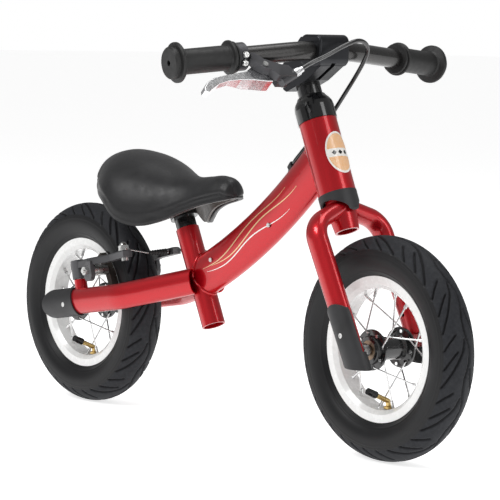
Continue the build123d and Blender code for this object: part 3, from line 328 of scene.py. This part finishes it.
PAINT = {
    "floor": studio_floor(),
    "red": candy_red(),
    "cover": moulded("cover_plastic", (0.018, 0.018, 0.019), (0.026, 0.026, 0.028), 0.46),
    "skirt": moulded("skirt_plastic", (0.075, 0.062, 0.054), (0.10, 0.085, 0.075), 0.5, 900),
    "gloss": glossy_black(),
    "jacket": glossy_black("cable_jacket", 0.24),
    "zinc": metal("zinc_plate", (0.62, 0.62, 0.61), 0.27),
    "spoke": metal("spoke_wire", (0.80, 0.80, 0.80), 0.22),
    "polished": metal("polished_alloy", (0.84, 0.84, 0.85), 0.24, (1, 6, 1), 0.06),
    "barrel": metal("barrel_alloy", (0.74, 0.74, 0.75), 0.2),
    "stem": satin_stem(),
    "alloy": textured_alloy(),
    "perch": textured_alloy("perch_alloy", (0.022, 0.022, 0.024)),
    "hub": glossy_black("hub_anodised", 0.16),
    "bar": bar_paint(),
    "post": glossy_black("post_paint", 0.2),
    "rim": white_enamel(),
    "tyre": tyre_rubber(),
    "tube": rubber("tube_rubber"),
    "grip": rubber("grip_rubber", (0.006, 0.006, 0.006), 0.5, 1300),
    "pad": rubber("pad_rubber", (0.030, 0.024, 0.020), 0.62),
    "boot": rubber("boot_rubber", (0.011, 0.011, 0.012), 0.5),
    "saddle": saddle_cloth(),
    "brass": brass(),
    "dust_cap": metal("bearing_shield", (0.30, 0.22, 0.16), 0.35),
    "badge_face": printed("badge_face", (0.80, 0.42, 0.18), (0.86, 0.62, 0.42)),
    "badge_white": printed("badge_white", (0.86, 0.84, 0.80), (0.80, 0.78, 0.74)),
    "gold": printed("gold_line", (0.80, 0.60, 0.32), (0.70, 0.50, 0.25), 0.3, 0.6),
}

NODE_PAINT = {
    "red": ["main_tube", "seat_tube", "head_tube", "chainstay_right", "chainstay_left", "fork_leg_right",
            "fork_leg_left", "fork_steerer"],
    "cover": ["rear_end_cap_right", "rear_end_cap_left", "fork_cover_right", "fork_cover_left",
              "steering_collar", "cable_clips"],
    "skirt": ["saddle_base"],
    "gloss": ["headset_cap", "front_valve_cap", "rear_valve_cap", "head_bearings"],
    "zinc": ["frame_screws", "fork_cover_screws", "stem_bolts", "lever_screws", "rear_axle", "front_axle",
             "cable_anchor", "pad_post_right", "pad_post_left"],
    "spoke": ["front_spokes", "rear_spokes"],
    "polished": ["brake_lever", "brake_noodle"],
    "barrel": ["barrel_adjuster"],
    "stem": ["stem"],
    "alloy": ["brake_arm_right", "brake_arm_left"],
    "perch": ["lever_bracket"],
    "hub": ["front_hub", "rear_hub"],
    "bar": ["handlebar_tube"],
    "post": ["stem_post", "seatpost", "saddle_bracket"],
    "rim": ["front_rim", "rear_rim"],
    "grip": ["grip_right", "grip_left"],
    "pad": ["brake_pad_right", "brake_pad_left"],
    "boot": ["brake_boot"],
    "dust_cap": ["front_bearings", "rear_bearings"],
}


def paint_nodes():
    for paint, names in NODE_PAINT.items():
        for name in names:
            for material_slot in frame["nodes"][name].material_slots:
                material_slot.material = PAINT[paint]


# ---- mesh helpers -------------------------------------------------------
def piece(name, verts, faces, paint, body=None, smooth=True):
    """A finished mesh object that rides on a body."""
    mesh = bpy.data.meshes.new(name)
    mesh.from_pydata([tuple(v) for v in verts], [], faces)
    mesh.materials.append(PAINT[paint])
    mesh.polygons.foreach_set("use_smooth", [smooth] * len(mesh.polygons))
    mesh.update()
    obj = bpy.data.objects.new(name, mesh)
    bpy.context.collection.objects.link(obj)
    if body:
        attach(obj, body)
    return obj


def grid_faces(rows, columns, wrap_rows=False, wrap_columns=False):
    """Quads over a grid of rows by columns of points."""
    faces = []
    for r in range(rows if wrap_rows else rows - 1):
        for c in range(columns if wrap_columns else columns - 1):
            r2, c2 = (r + 1) % rows, (c + 1) % columns
            faces.append((r * columns + c, r * columns + c2, r2 * columns + c2, r2 * columns + c))
    return faces


def outward(obj):
    """Turn every face of a closed mesh outwards."""
    bm = bmesh.new()
    bm.from_mesh(obj.data)
    bmesh.ops.recalc_face_normals(bm, faces=bm.faces)
    bm.to_mesh(obj.data)
    bm.free()
    return obj


def tube_along(name, points, radius, paint, steps=10):
    """A smooth round tube along a NURBS line through a given route."""
    curve = bpy.data.curves.new(name + "_route", "CURVE")
    curve.dimensions = "3D"
    curve.bevel_depth = radius
    curve.bevel_resolution = 4
    curve.resolution_u = steps
    curve.use_fill_caps = True
    spline = curve.splines.new("NURBS")
    spline.points.add(len(points) - 1)
    for point, spot in zip(spline.points, points):
        point.co = (*spot, 1)
    spline.order_u = 3
    spline.use_endpoint_u = True
    route = bpy.data.objects.new(name + "_route", curve)
    bpy.context.collection.objects.link(route)
    bpy.context.view_layer.update()
    mesh = bpy.data.meshes.new_from_object(route.evaluated_get(bpy.context.evaluated_depsgraph_get()))
    bpy.data.objects.remove(route)
    mesh.name = name
    mesh.materials.clear()
    mesh.materials.append(PAINT[paint])
    mesh.polygons.foreach_set("use_smooth", [True] * len(mesh.polygons))
    obj = bpy.data.objects.new(name, mesh)
    bpy.context.collection.objects.link(obj)
    return obj


# ---- tyres --------------------------------------------------------------
AROUND = 720              # points round the tyre
PITCHES = 12              # the tread repeats this often
SKIN = 0.3 * MM           # the tread's blocks stand this much inside the CAD's tyre
AIR_HALF = 21.3 * MM      # half width of the air space
BEADS = [(12.9, 80.5), (12.9, 75.6), (8.8, 75.6)]    # mm out and up from the axle
TREAD_HALF = 66.0         # the tread reaches this far from the crown, degrees
GROOVE = 1.5 * MM         # half width of a groove
GROOVE_DEPTH = 2.2 * MM
# One pitch's grooves: degrees back round the tyre, degrees from the crown.
LONG_GROOVE = [(0, 64), (5, 52), (10, 39), (15, 27), (18.5, 18), (21, 13), (26, 8)]
SHORT_GROOVES = [[(10, 64), (14.5, 50), (18, 37), (20, 28)], [(20.5, 64), (24.5, 50), (27, 38), (28.5, 31)]]
CENTRE_WAVE = [(0, 5), (6, 6.5), (15, -5), (21, -6.5), (30, 5)]
WALL_RINGS = (70, 76, 127)    # raised rings on each wall, degrees from the crown


def groove_lines():
    """All grooves of a pitch on one side, as runs between two places."""
    lines = [LONG_GROOVE, *SHORT_GROOVES]
    return [(a, b) for line in lines for a, b in zip(line, line[1:])]


def run_distance(u, v, runs, period):
    """Distance from each place to the nearest run, on the unrolled tyre."""
    best = np.full(u.shape, 1.0)
    for (u0, v0), (u1, v1) in runs:
        for shift in (-period, 0, period):
            au, av, bu, bv = u0 + shift, v0, u1 + shift, v1
            du, dv = bu - au, bv - av
            t = np.clip(((u - au) * du + (v - av) * dv) / (du * du + dv * dv), 0, 1)
            best = np.minimum(best, np.hypot(u - au - t * du, v - av - t * dv))
    return best


def tread_height(angle, slope):
    """Depth of the tread at places given round the tyre and from the crown."""
    period = 2 * pi / PITCHES * TYRE_RADIUS
    per_degree_u = period / (360 / PITCHES)
    per_degree_v = radians(TYRE_HALF)
    depth = np.zeros(angle.shape)
    for side, offset in ((1, 0.0), (-1, 0.5)):
        u = ((angle / (2 * pi) * PITCHES + offset) % 1) * period
        v = slope * side * TYRE_HALF
        runs = [((a * per_degree_u, b * per_degree_v), (c * per_degree_u, d * per_degree_v))
                for (a, b), (c, d) in groove_lines()]
        near = run_distance(u, v, runs, period)
        wave = [((a * per_degree_u, b * per_degree_v), (c * per_degree_u, d * per_degree_v))
                for (a, b), (c, d) in zip(CENTRE_WAVE, CENTRE_WAVE[1:])]
        if side == 1:
            near = np.minimum(near, run_distance(u, slope * TYRE_HALF, wave, period))
        depth = np.maximum(depth, np.clip((GROOVE - near) / (0.45 * GROOVE), 0, 1))
    return -GROOVE_DEPTH * depth


def wall_relief(slope):
    """Rings on the walls and the step at the tread's edge."""
    degrees_out = np.degrees(np.abs(slope))
    relief = np.zeros(slope.shape)
    for ring in WALL_RINGS:
        relief += 0.7 * MM * np.exp(-((degrees_out - ring) / 1.3) ** 2)
    relief -= 0.5 * MM * np.clip((degrees_out - TREAD_HALF) / 2, 0, 1)
    return relief


def mark_points(obj, name, outer_values, shape):
    """Give the mesh's outer points a value that its material reads."""
    values = np.zeros(shape, np.float32)
    values[:, :outer_values.shape[-1]] = outer_values
    obj.data.attributes.new(name, "FLOAT", "POINT").data.foreach_set("value", values.reshape(-1))


def tyre(name, centre, body):
    """Tyre with a moulded tread, ringed walls and beads that sit in the rim."""
    outer_angle = np.radians(np.linspace(-139, 139, 113))
    inner_angle = np.radians(np.linspace(131, -131, 40))
    turn = np.linspace(0, 2 * pi, AROUND, endpoint=False)
    core = TYRE_RADIUS - TYRE_HALF
    around, slope = np.meshgrid(turn, outer_angle, indexing="ij")
    depth = tread_height(around, slope)
    reach = TYRE_HALF - SKIN + depth + wall_relief(slope)
    bead_y = np.array([y for y, _ in BEADS] + [-y for y, _ in reversed(BEADS)]) * MM
    bead_r = np.array([r for _, r in BEADS] + [r for _, r in reversed(BEADS)]) * MM
    inner_y, inner_r = AIR_HALF * np.sin(inner_angle), core + AIR_HALF * np.cos(inner_angle)
    rest_y = np.concatenate([bead_y[:3], inner_y, bead_y[3:]])
    rest_r = np.concatenate([bead_r[:3], inner_r, bead_r[3:]])
    y = np.concatenate([reach * np.sin(slope), np.tile(rest_y, (AROUND, 1))], axis=1)
    r = np.concatenate([core + reach * np.cos(slope), np.tile(rest_r, (AROUND, 1))], axis=1)
    angle = np.tile(turn[:, None], (1, y.shape[1]))
    verts = np.stack([centre.x + r * np.cos(angle), centre.y + y, centre.z + r * np.sin(angle)], axis=-1)
    faces = grid_faces(AROUND, y.shape[1], True, True)
    obj = piece(name, verts.reshape(-1, 3), faces, "tyre", None)
    mark_points(obj, "tread", np.abs(np.degrees(outer_angle)) < TREAD_HALF, y.shape)
    # The groove depth lets the material paint shade into the grooves.
    mark_points(obj, "groove", -depth / GROOVE_DEPTH, y.shape)
    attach(outward(obj), body)
    return obj


# ---- valves -------------------------------------------------------------
VALVE_ANGLE = -85.0       # degrees above forward
VALVE_DEPTHS = (79.0, 70.0, 62.5, 58.5)    # mm from the axle, down the straight part of the stem
VALVE_BEND = 57.0         # mm from the axle, where it turns off by VALVE_TURN
VALVE_TURN = Vector((0, -4.0, 0)) * MM
VALVE_R = 2.9 * MM
NUT_DEPTH = 67.2          # mm from the axle
NUT_OUTLINE = [(3.4, 0), (5.6, 0), (5.6, 2.2), (4.2, 3.2), (3.4, 3.2)]    # mm


def valve(name, centre, body, cap_node):
    """Bent brass valve stem that leaves the rim and turns to the right."""
    cap = middle(cap_node)
    down = Vector((cos(radians(VALVE_ANGLE)), 0, sin(radians(VALVE_ANGLE))))
    spots = [centre + down * depth * MM for depth in VALVE_DEPTHS]
    spots.append(centre + down * VALVE_BEND * MM + VALVE_TURN)
    end = cap + (spots[-1] - cap) * 0.25
    spots += [spots[-1] + (end - spots[-1]) * 0.5, end]
    stem = tube_along(name, spots, VALVE_R, "brass", 12)
    outline = [(r * MM, height * MM) for r, height in NUT_OUTLINE]
    nut = ring_stack(name + "_nut", centre + down * NUT_DEPTH * MM, -down, outline, "brass")
    for obj in (stem, nut):
        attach(obj, body)


def ring_stack(name, origin, axis, outline, paint, count=40, smooth=False):
    """A turned ring from a closed outline of (radius, height) points."""
    axis = axis.normalized()
    across = axis.orthogonal().normalized()
    other = axis.cross(across)
    verts = []
    for k in range(count):
        t = 2 * pi * k / count
        for r, h in outline:
            verts.append(origin + across * (r * cos(t)) + other * (r * sin(t)) + axis * h)
    obj = piece(name, verts, grid_faces(count, len(outline), True, True), paint, None, smooth)
    return outward(obj)


AIR_TUBE_CORE = 103.5 * MM    # radius of the inner tube's centreline
AIR_TUBE_R = 18.5 * MM


def air_tube(name, centre, body, node):
    """The inner tube, a plain ring inside the tyre. It stands for the CAD's tube."""
    rings, around = 96, 20
    verts = []
    for k in range(rings):
        t = 2 * pi * k / rings
        for j in range(around):
            a = 2 * pi * j / around
            r = AIR_TUBE_CORE + AIR_TUBE_R * cos(a)
            verts.append(centre + Vector((r * cos(t), AIR_TUBE_R * sin(a), r * sin(t))))
    faces = grid_faces(rings, around, True, True)
    obj = outward(piece(name, verts, faces, "tube", None))
    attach(obj, body)
    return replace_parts(obj, node)


def wheels():
    for which, centre in (("front", FRONT_AXLE), ("rear", REAR_AXLE)):
        body = which + "_wheel"
        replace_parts(tyre(which + "_tyre_tread", centre, body), which + "_tyre")
        air_tube(which + "_air_tube", centre, body, which + "_inner_tube")
        valve(which + "_valve_stem", centre, body, which + "_valve_cap")


# ---- saddle -------------------------------------------------------------
# Stations along the saddle, in mm: forward of the rear axle, half width,
# crown height and rim height.
SADDLE = [(59, 32, 316, 293), (66, 44, 321, 287), (82, 57, 326, 276), (108, 70, 325, 265),
          (138, 71, 319, 244), (165, 59, 310, 238), (190, 43, 302, 246), (212, 31, 299, 257),
          (236, 24, 301, 266), (260, 20, 303, 272), (276, 15, 299, 276), (284, 10, 292, 279)]
SADDLE_WALL = 6.3         # cover and foam at the sides
SADDLE_FOAM = 12.0        # and over the crown
REAR_ROUND, NOSE_ROUND = 9.0, 8.0     # the two ends close over these lengths
CROWN_POWER = 0.88        # under 1 flattens the crown a little
SEAM_UP = 9.5             # the sewn seam above the rim, lower towards the ends


def smooth_value(knots, values, x):
    """A smooth cubic through a station table."""
    slopes = np.gradient(values, knots)
    k = int(np.clip(np.searchsorted(knots, x) - 1, 0, len(knots) - 2))
    h = knots[k + 1] - knots[k]
    t = (x - knots[k]) / h
    a, b = values[k], values[k + 1]
    return ((2 * t ** 3 - 3 * t * t + 1) * a + (t ** 3 - 2 * t * t + t) * h * slopes[k]
            + (3 * t * t - 2 * t ** 3) * b + (t ** 3 - t * t) * h * slopes[k + 1])


def saddle_ring(x, inset, under, columns):
    """One arch of the cover or of its inside, from rim to rim over the crown."""
    table = np.array(SADDLE, float)
    half, top, low = [smooth_value(table[:, 0], table[:, c], x) for c in (1, 2, 3)]
    from_rear, from_nose = x - SADDLE[0][0] - inset, SADDLE[-1][0] - inset - x
    closing = 1.0
    for distance, radius in ((from_rear, REAR_ROUND), (from_nose, NOSE_ROUND)):
        share = min(max(distance / radius, 0.0), 1.0)
        closing *= sqrt(max(1 - (1 - share) ** 2, 0.0))
    half = max((half - inset) * closing, 0.4)
    height = max((top - low - under) * closing, 0.5)
    turns = np.linspace(-pi / 2, pi / 2, columns)
    return [(half * sin(a), low, height * max(cos(a), 0.0) ** CROWN_POWER) for a in turns]


def sewn(y, above, seam_up):
    """Draw the cover in at its seam and its lower edge, and swell it above."""
    seam = np.exp(-((above - seam_up) / 0.9) ** 2)
    edge = np.exp(-((above - seam_up * 0.45) / 3.0) ** 2)
    swell = np.exp(-((above - seam_up - 5.0) / 4.0) ** 2)
    return y + np.sign(y) * (0.5 * swell - 1.1 * seam - 0.8 * edge)


def saddle_cover():
    """Padded cover: crowned, with a sewn seam above a rolled lower edge."""
    first, last = SADDLE[0][0], SADDLE[-1][0]
    rows, columns = 150, 84
    verts = []
    for i in range(rows):
        share = 0.5 - 0.5 * cos(pi * i / (rows - 1))
        x = first + (last - first) * share
        for y, low, above in saddle_ring(x, 0.0, 0.0, columns):
            seam_up = SEAM_UP if 75 < x < 270 else SEAM_UP * min(x - first + 2, last - x + 2) / 18
            verts.append(place(x, sewn(y, above, seam_up), low + above))
        inner_x = first + SADDLE_WALL + (last - first - 2 * SADDLE_WALL) * share
        for y, low, above in reversed(saddle_ring(inner_x, SADDLE_WALL, SADDLE_FOAM, columns)):
            verts.append(place(inner_x, y, low + above))
    loop = 2 * columns
    obj = piece("saddle_cover", verts, grid_faces(rows, loop, False, True), "saddle", None)
    close_end(obj, range(loop))
    close_end(obj, range((rows - 1) * loop, rows * loop))
    outward(obj)
    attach(obj, "seat")
    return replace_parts(obj, "saddle_pad")


def close_end(obj, ring):
    """Bridge an end's outer and inner half loops with a strip of quads."""
    ring = list(ring)
    half = len(ring) // 2
    outer, inner = ring[:half], ring[half:][::-1]
    bm = bmesh.new()
    bm.from_mesh(obj.data)
    bm.verts.ensure_lookup_table()
    for k in range(half - 1):
        bm.faces.new([bm.verts[n] for n in (outer[k], outer[k + 1], inner[k + 1], inner[k])])
    for face in bm.faces:
        face.smooth = True
    bm.to_mesh(obj.data)
    bm.free()


# ---- brake cable --------------------------------------------------------
CABLE_RADIUS = 2.5 * MM
CABLE_LIFT = 4.2          # mm from the tube's wall to the housing's centre
BARREL_WAY = Vector((-0.033, 0.9, 0.455)).normalized()    # out of the barrel adjuster
NOODLE_WAY = Vector((26.5, -3, 2.5)).normalized()         # out of the noodle
NOODLE_MOUTH = (139.6, 50.7, 201.7)
# Stops of the housing, in mm from the rear axle.
BAR_STOPS = [(456, -22, 450), (459, 2, 462), (461, 26, 470), (456, 45, 461), (444, 49, 443)]
LOOP_TOP = (424, 48, 418)
LOOP_STOPS = [(411, 46.5, 401), (405, 28, 372), (400, 4, 347)]
REAR_STOPS = [(206, 21.5, 201.5), (176, 39.5, 204)]

TUBE_CENTRE = (-112.3, 845.0)     # the main tube's arc: centre, radius and ends
TUBE_ARC_R = 745.7
TUBE_ARC = (-64.05, -42.21)
TUBE_SIDE, TUBE_UP = 14.5, 25.6   # half width and half height of its section
# The housing's stops on the tube: share of its length, turn from the left over the top.
TUBE_ROUTE = [(0.82, 88), (0.76, 84), (0.68, 56), (0.60, 26), (0.50, 12), (0.30, 8), (0.13, 10)]


def tube_wall(share, turn, lift):
    """A place off the main tube's wall; turn counts from the left over the top."""
    angle = radians(TUBE_ARC[0] + share * (TUBE_ARC[1] - TUBE_ARC[0]))
    centre = place(TUBE_CENTRE[0] + TUBE_ARC_R * cos(angle), 0, TUBE_CENTRE[1] + TUBE_ARC_R * sin(angle))
    up = Vector((-cos(angle), 0, -sin(angle)))
    side_part, up_part = cos(radians(turn)), sin(radians(turn))
    out = (Vector((0, side_part / TUBE_SIDE, 0)) + up * (up_part / TUBE_UP)).normalized()
    wall = centre + (Vector((0, TUBE_SIDE * side_part, 0)) + up * (TUBE_UP * up_part)) * MM
    return wall + out * lift * MM


def housing(name, route, node):
    tube = tube_along(name, route, CABLE_RADIUS, "jacket")
    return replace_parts(tube, node)


def cables():
    """Housing on the bars, its free loop, and the stretch along the frame."""
    mouth = middle("barrel_adjuster") + BARREL_WAY * 8.5 * MM
    loop_top = place(*LOOP_TOP)
    route = [mouth, mouth + BARREL_WAY * 18 * MM] + [place(*stop) for stop in BAR_STOPS] + [loop_top]
    upper = housing("brake_housing_bars", route, "brake_cable_upper")
    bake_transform(upper)

    on_frame = [tube_wall(share, turn, CABLE_LIFT) for share, turn in TUBE_ROUTE]
    route = [loop_top] + [place(*stop) for stop in LOOP_STOPS] + on_frame[:1]
    head = housing("brake_housing_head", route, "brake_cable_mid")
    tuple(on_frame[0])
    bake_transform(head)

    rear_mouth = place(*NOODLE_MOUTH)
    route = on_frame + [place(*stop) for stop in REAR_STOPS]
    route += [rear_mouth + NOODLE_WAY * 20 * MM, rear_mouth + NOODLE_WAY * 0.5 * MM]
    rear = housing("brake_housing_frame", route, "brake_cable_rear")
    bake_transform(rear)


# ---- boot over the bare brake wire --------------------------------------
BOOT_RIB = 4.0            # mm from rib to rib
BOOT_RIBS = 7
BOOT_R, BOOT_TAPER = 3.0, 0.055    # radius between the ribs, and its fall per mm
RIB_HEIGHT = 1.35
BOOT_BORE = 1.05


def boot():
    """Rubber bellows, narrower towards the anchor, with rounded ribs."""
    low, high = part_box("brake_boot")
    mouth = Vector(((low[0] + high[0]) / 2, high[1], (low[2] + high[2]) / 2))
    heights = np.linspace(0, BOOT_RIB * BOOT_RIBS, 113)
    outline = []
    for h in heights:
        fold = 0.5 + 0.5 * cos(2 * pi * (h / BOOT_RIB - 0.35))
        outline.append(((BOOT_R - BOOT_TAPER * h + RIB_HEIGHT * fold ** 0.8) * MM, h * MM))
    outline += [(BOOT_BORE * MM, heights[-1] * MM), (BOOT_BORE * MM, 0)]
    bellows = ring_stack("brake_bellows", mouth, Vector((0, -1, 0)), outline, "boot", 48, True)
    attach(bellows, "brake_arm_left")
    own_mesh(bellows)
    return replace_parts(bellows, "brake_boot")


# ---- welds --------------------------------------------------------------
SEAT_FOOT = place(242.8, 0, 121.2)
SEAT_TUBE_R = 14.3 * MM
SEAT_LENGTH = 125.2 * MM
BEAD = 1.9 * MM           # radius of a weld bead
BEAD_LIFT = 0.4           # mm from a tube's wall to its bead's centre


def surface(node):
    """A CAD node's faces, ready for rays."""
    obj = frame["nodes"][node]
    spots = [obj.matrix_world @ vertex.co for vertex in obj.data.vertices]
    return BVHTree.FromPolygons(spots, [tuple(face.vertices) for face in obj.data.polygons])


def bead(name, centres, body="frame", ripples=40):
    """A rippled weld bead along a closed seam."""
    count, around = len(centres), 10
    hub = sum(centres, Vector()) / count
    verts = []
    for k, spot in enumerate(centres):
        along = (centres[(k + 1) % count] - centres[k - 1]).normalized()
        out = spot - hub
        out = (out - along * out.dot(along)).normalized()
        side = along.cross(out)
        radius = BEAD * (1 + 0.16 * abs(sin(pi * ripples * k / count)))
        for j in range(around):
            turn = 2 * pi * j / around
            verts.append(spot + (out * cos(turn) + side * sin(turn)) * radius)
    obj = outward(piece(name, verts, grid_faces(count, around, True, True), "red"))
    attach(obj, body)
    return obj


def meeting_line(target, starts, direction):
    """Where lines along one tube meet the surface of another."""
    tree = surface(target)
    hits = [tree.ray_cast(start, direction)[0] for start in starts]
    return [hit for hit in hits if hit]


def welds():
    """Beads where the seat tube and the head tube meet the main tube."""
    up = Vector(joint("seat_slide")["axis"]).normalized()
    across = Vector((0, 1, 0))
    ahead = across.cross(up)
    turns = [2 * pi * k / 200 for k in range(200)]
    ring = [(ahead * cos(t) + across * sin(t)) * (SEAT_TUBE_R + BEAD_LIFT * MM) for t in turns]
    above = [SEAT_FOOT + up * SEAT_LENGTH + spot for spot in ring]
    below = [SEAT_FOOT - up * 10 * MM + spot for spot in ring]
    bead("weld_seat_tube_top", meeting_line("main_tube", above, -up))
    bead("weld_seat_tube_foot", meeting_line("main_tube", below, up))
    near_end, further = 0.93, 0.97
    forward = (tube_wall(further, 90, 0) - tube_wall(near_end, 90, 0)).normalized()
    starts = [tube_wall(near_end, turn, BEAD_LIFT) for turn in range(0, 360, 2)]
    bead("weld_head_tube", meeting_line("head_tube", starts, forward), ripples=56)


# ---- badge and lines ----------------------------------------------------
HEAD_R = 22.0
BADGE_UP = 43.0           # mm up the head tube
BADGE_HALF = (17.3, 25.0)    # mm round the tube and along it
FIELD = 0.9               # the coloured fields' share of the badge's size
BAND = 0.2                # half the white band's share of its height
STUDS = (-0.45, 0.0, 0.45)
STUD_HALF = (0.16, 0.11)


def sheet(name, spot, rows, columns, low, high, paint, body):
    """A thin closed patch; spot(row share, column share, lift) gives its points."""
    count = rows * columns
    verts = [spot(r / (rows - 1), c / (columns - 1), lift)
             for lift in (high, low) for r in range(rows) for c in range(columns)]
    top = grid_faces(rows, columns)
    faces = top + [tuple(v + count for v in reversed(face)) for face in top]
    border = list(range(columns))
    border += [r * columns + columns - 1 for r in range(1, rows)]
    border += [(rows - 1) * columns + c for c in range(columns - 2, -1, -1)]
    border += [r * columns for r in range(rows - 2, 0, -1)]
    for a, b in zip(border, border[1:] + border[:1]):
        faces.append((a, b, b + count, a + count))
    obj = outward(piece(name, verts, faces, paint, None, False))
    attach(obj, body)
    return obj


def on_head_tube(across, along, lift):
    """A place on the badge, across and along from -1 to 1."""
    turn = across * BADGE_HALF[0] / HEAD_R
    reach = HEAD_R + lift
    return steer_point(reach * cos(turn), reach * sin(turn), BADGE_UP + along * BADGE_HALF[1])


def badge_patch(name, low_edge, high_edge, size, low, high, paint):
    """The part of the oval between two heights, from -1 to 1."""
    def spot(row, column, lift):
        along = low_edge + (high_edge - low_edge) * (0.5 - 0.5 * cos(pi * row))
        half = sqrt(max(size * size - along * along, 0.0001))
        return on_head_tube(half * (2 * column - 1), along, lift)
    return sheet(name, spot, 36, 25, low, high, paint, "frame")


def badge():
    """Oval plate: white rim and band, warm fields above and below, three studs."""
    badge_patch("badge_plate", -1, 1, 1.0, -0.3, 0.7, "badge_white")
    badge_patch("badge_field_top", BAND, FIELD, FIELD, 0.5, 0.95, "badge_face")
    badge_patch("badge_field_foot", -FIELD, -BAND, FIELD, 0.5, 0.95, "badge_face")
    for k, shift in enumerate(STUDS):
        def spot(row, column, lift):
            along = STUD_HALF[1] * (2 * row - 1)
            half = STUD_HALF[0] * (1 - abs(2 * row - 1)) + 0.004
            return on_head_tube(shift + half * (2 * column - 1), along, lift)
        sheet(f"badge_stud_{k}", spot, 9, 5, 0.5, 1.0, "gloss", "frame")


# Each line's side of the middle, ink, and first and last share of the tube's length.
LINES = [(-1, "gold", 0.10, 0.74), (0, "gold", 0.16, 0.80), (1, "badge_white", 0.12, 0.70)]
LINE_WIDTH = 3.4          # degrees round the tube at the widest
LINE_SPREAD = (7, 20)     # degrees between lines at the seat end, and added by the head end
LINE_WAVE = 9             # degrees


def side_lines():
    """Three fine tapering lines down the right wall of the main tube."""
    for which, paint, first, last in LINES:
        def spot(row, column, lift):
            share = first + (last - first) * row
            turn = 180 + which * (LINE_SPREAD[0] + LINE_SPREAD[1] * row) + LINE_WAVE * sin(2.6 * pi * row)
            width = LINE_WIDTH * sin(pi * min(max(row, 0.02), 0.98)) ** 0.5
            return tube_wall(share, turn + width * (column - 0.5), lift)
        sheet(f"side_line_{which + 1}", spot, 120, 4, -0.2, 0.18, paint, "frame")


# ---- camera, light and floor --------------------------------------------
AZIMUTH, ELEVATION, ROLL = 49.22, 5.19, 1.14    # degrees
DISTANCE = 2.942
FOCAL_PIXELS, PICTURE_PIXELS = 2486, 500
SENSOR = 36.0             # mm
TARGET = Vector((0.0353, 0, 0.218))


def camera():
    """The photograph's viewpoint, solved on the two wheels."""
    az, el, roll = radians(AZIMUTH), radians(ELEVATION), radians(ROLL)
    back = Vector((sin(az) * cos(el), -cos(az) * cos(el), sin(el)))
    right = Vector((cos(az), sin(az), 0))
    up = back.cross(right)
    turned_right = right * cos(roll) + up * sin(roll)
    turned_up = up * cos(roll) - right * sin(roll)
    data = bpy.data.cameras.new("camera")
    data.sensor_width = SENSOR
    data.lens = FOCAL_PIXELS / PICTURE_PIXELS * SENSOR
    obj = bpy.data.objects.new("camera", data)
    bpy.context.collection.objects.link(obj)
    basis = Matrix((turned_right, turned_up, back)).transposed().to_4x4()
    obj.matrix_world = Matrix.Translation(TARGET + back * DISTANCE) @ basis
    bpy.context.scene.camera = obj


def softbox(name, where, towards, size, power):
    data = bpy.data.lights.new(name, "AREA")
    data.shape = "RECTANGLE"
    data.size, data.size_y = size
    data.energy = power
    obj = bpy.data.objects.new(name, data)
    bpy.context.collection.objects.link(obj)
    aim = Vector(towards) - Vector(where)
    obj.matrix_world = Matrix.Translation(where) @ aim.to_track_quat("-Z", "Y").to_matrix().to_4x4()


FLOOR_HALF = 30.0         # metres


def studio():
    """Pale sweep, white surround and large soft boxes."""
    world = bpy.data.worlds.new("studio")
    world.use_nodes = True
    tree = world.node_tree
    soft = tree.nodes["Background"]
    soft.inputs["Color"].default_value = (1, 1, 1, 1)
    soft.inputs["Strength"].default_value = 0.30
    seen = tree.nodes.new("ShaderNodeBackground")
    seen.inputs["Color"].default_value = (1, 1, 1, 1)
    seen.inputs["Strength"].default_value = 1.0
    by_camera = tree.nodes.new("ShaderNodeLightPath")
    choice = tree.nodes.new("ShaderNodeMixShader")
    tree.links.new(by_camera.outputs["Is Camera Ray"], choice.inputs["Fac"])
    tree.links.new(soft.outputs["Background"], choice.inputs[1])
    tree.links.new(seen.outputs["Background"], choice.inputs[2])
    tree.links.new(choice.outputs["Shader"], tree.nodes["World Output"].inputs["Surface"])
    bpy.context.scene.world = world
    bpy.context.scene.view_settings.view_transform = "Standard"
    softbox("key", (-0.4, -2.4, 2.4), (0, 0, 0.25), (1.4, 1.0), 44)
    softbox("fill", (2.6, 0.4, 1.4), (0, 0, 0.2), (0.9, 1.8), 16)
    softbox("top", (0.2, 0.4, 3.0), (0, 0, 0.2), (2.2, 1.6), 34)
    corners = [(x * FLOOR_HALF, y * FLOOR_HALF, 0) for x, y in ((-1, -1), (1, -1), (1, 1), (-1, 1))]
    piece("studio_floor", corners, [(0, 1, 2, 3)], "floor")


paint_nodes()
wheels()
saddle_cover()
cables()
boot()
welds()
badge()
side_lines()
camera()
studio()
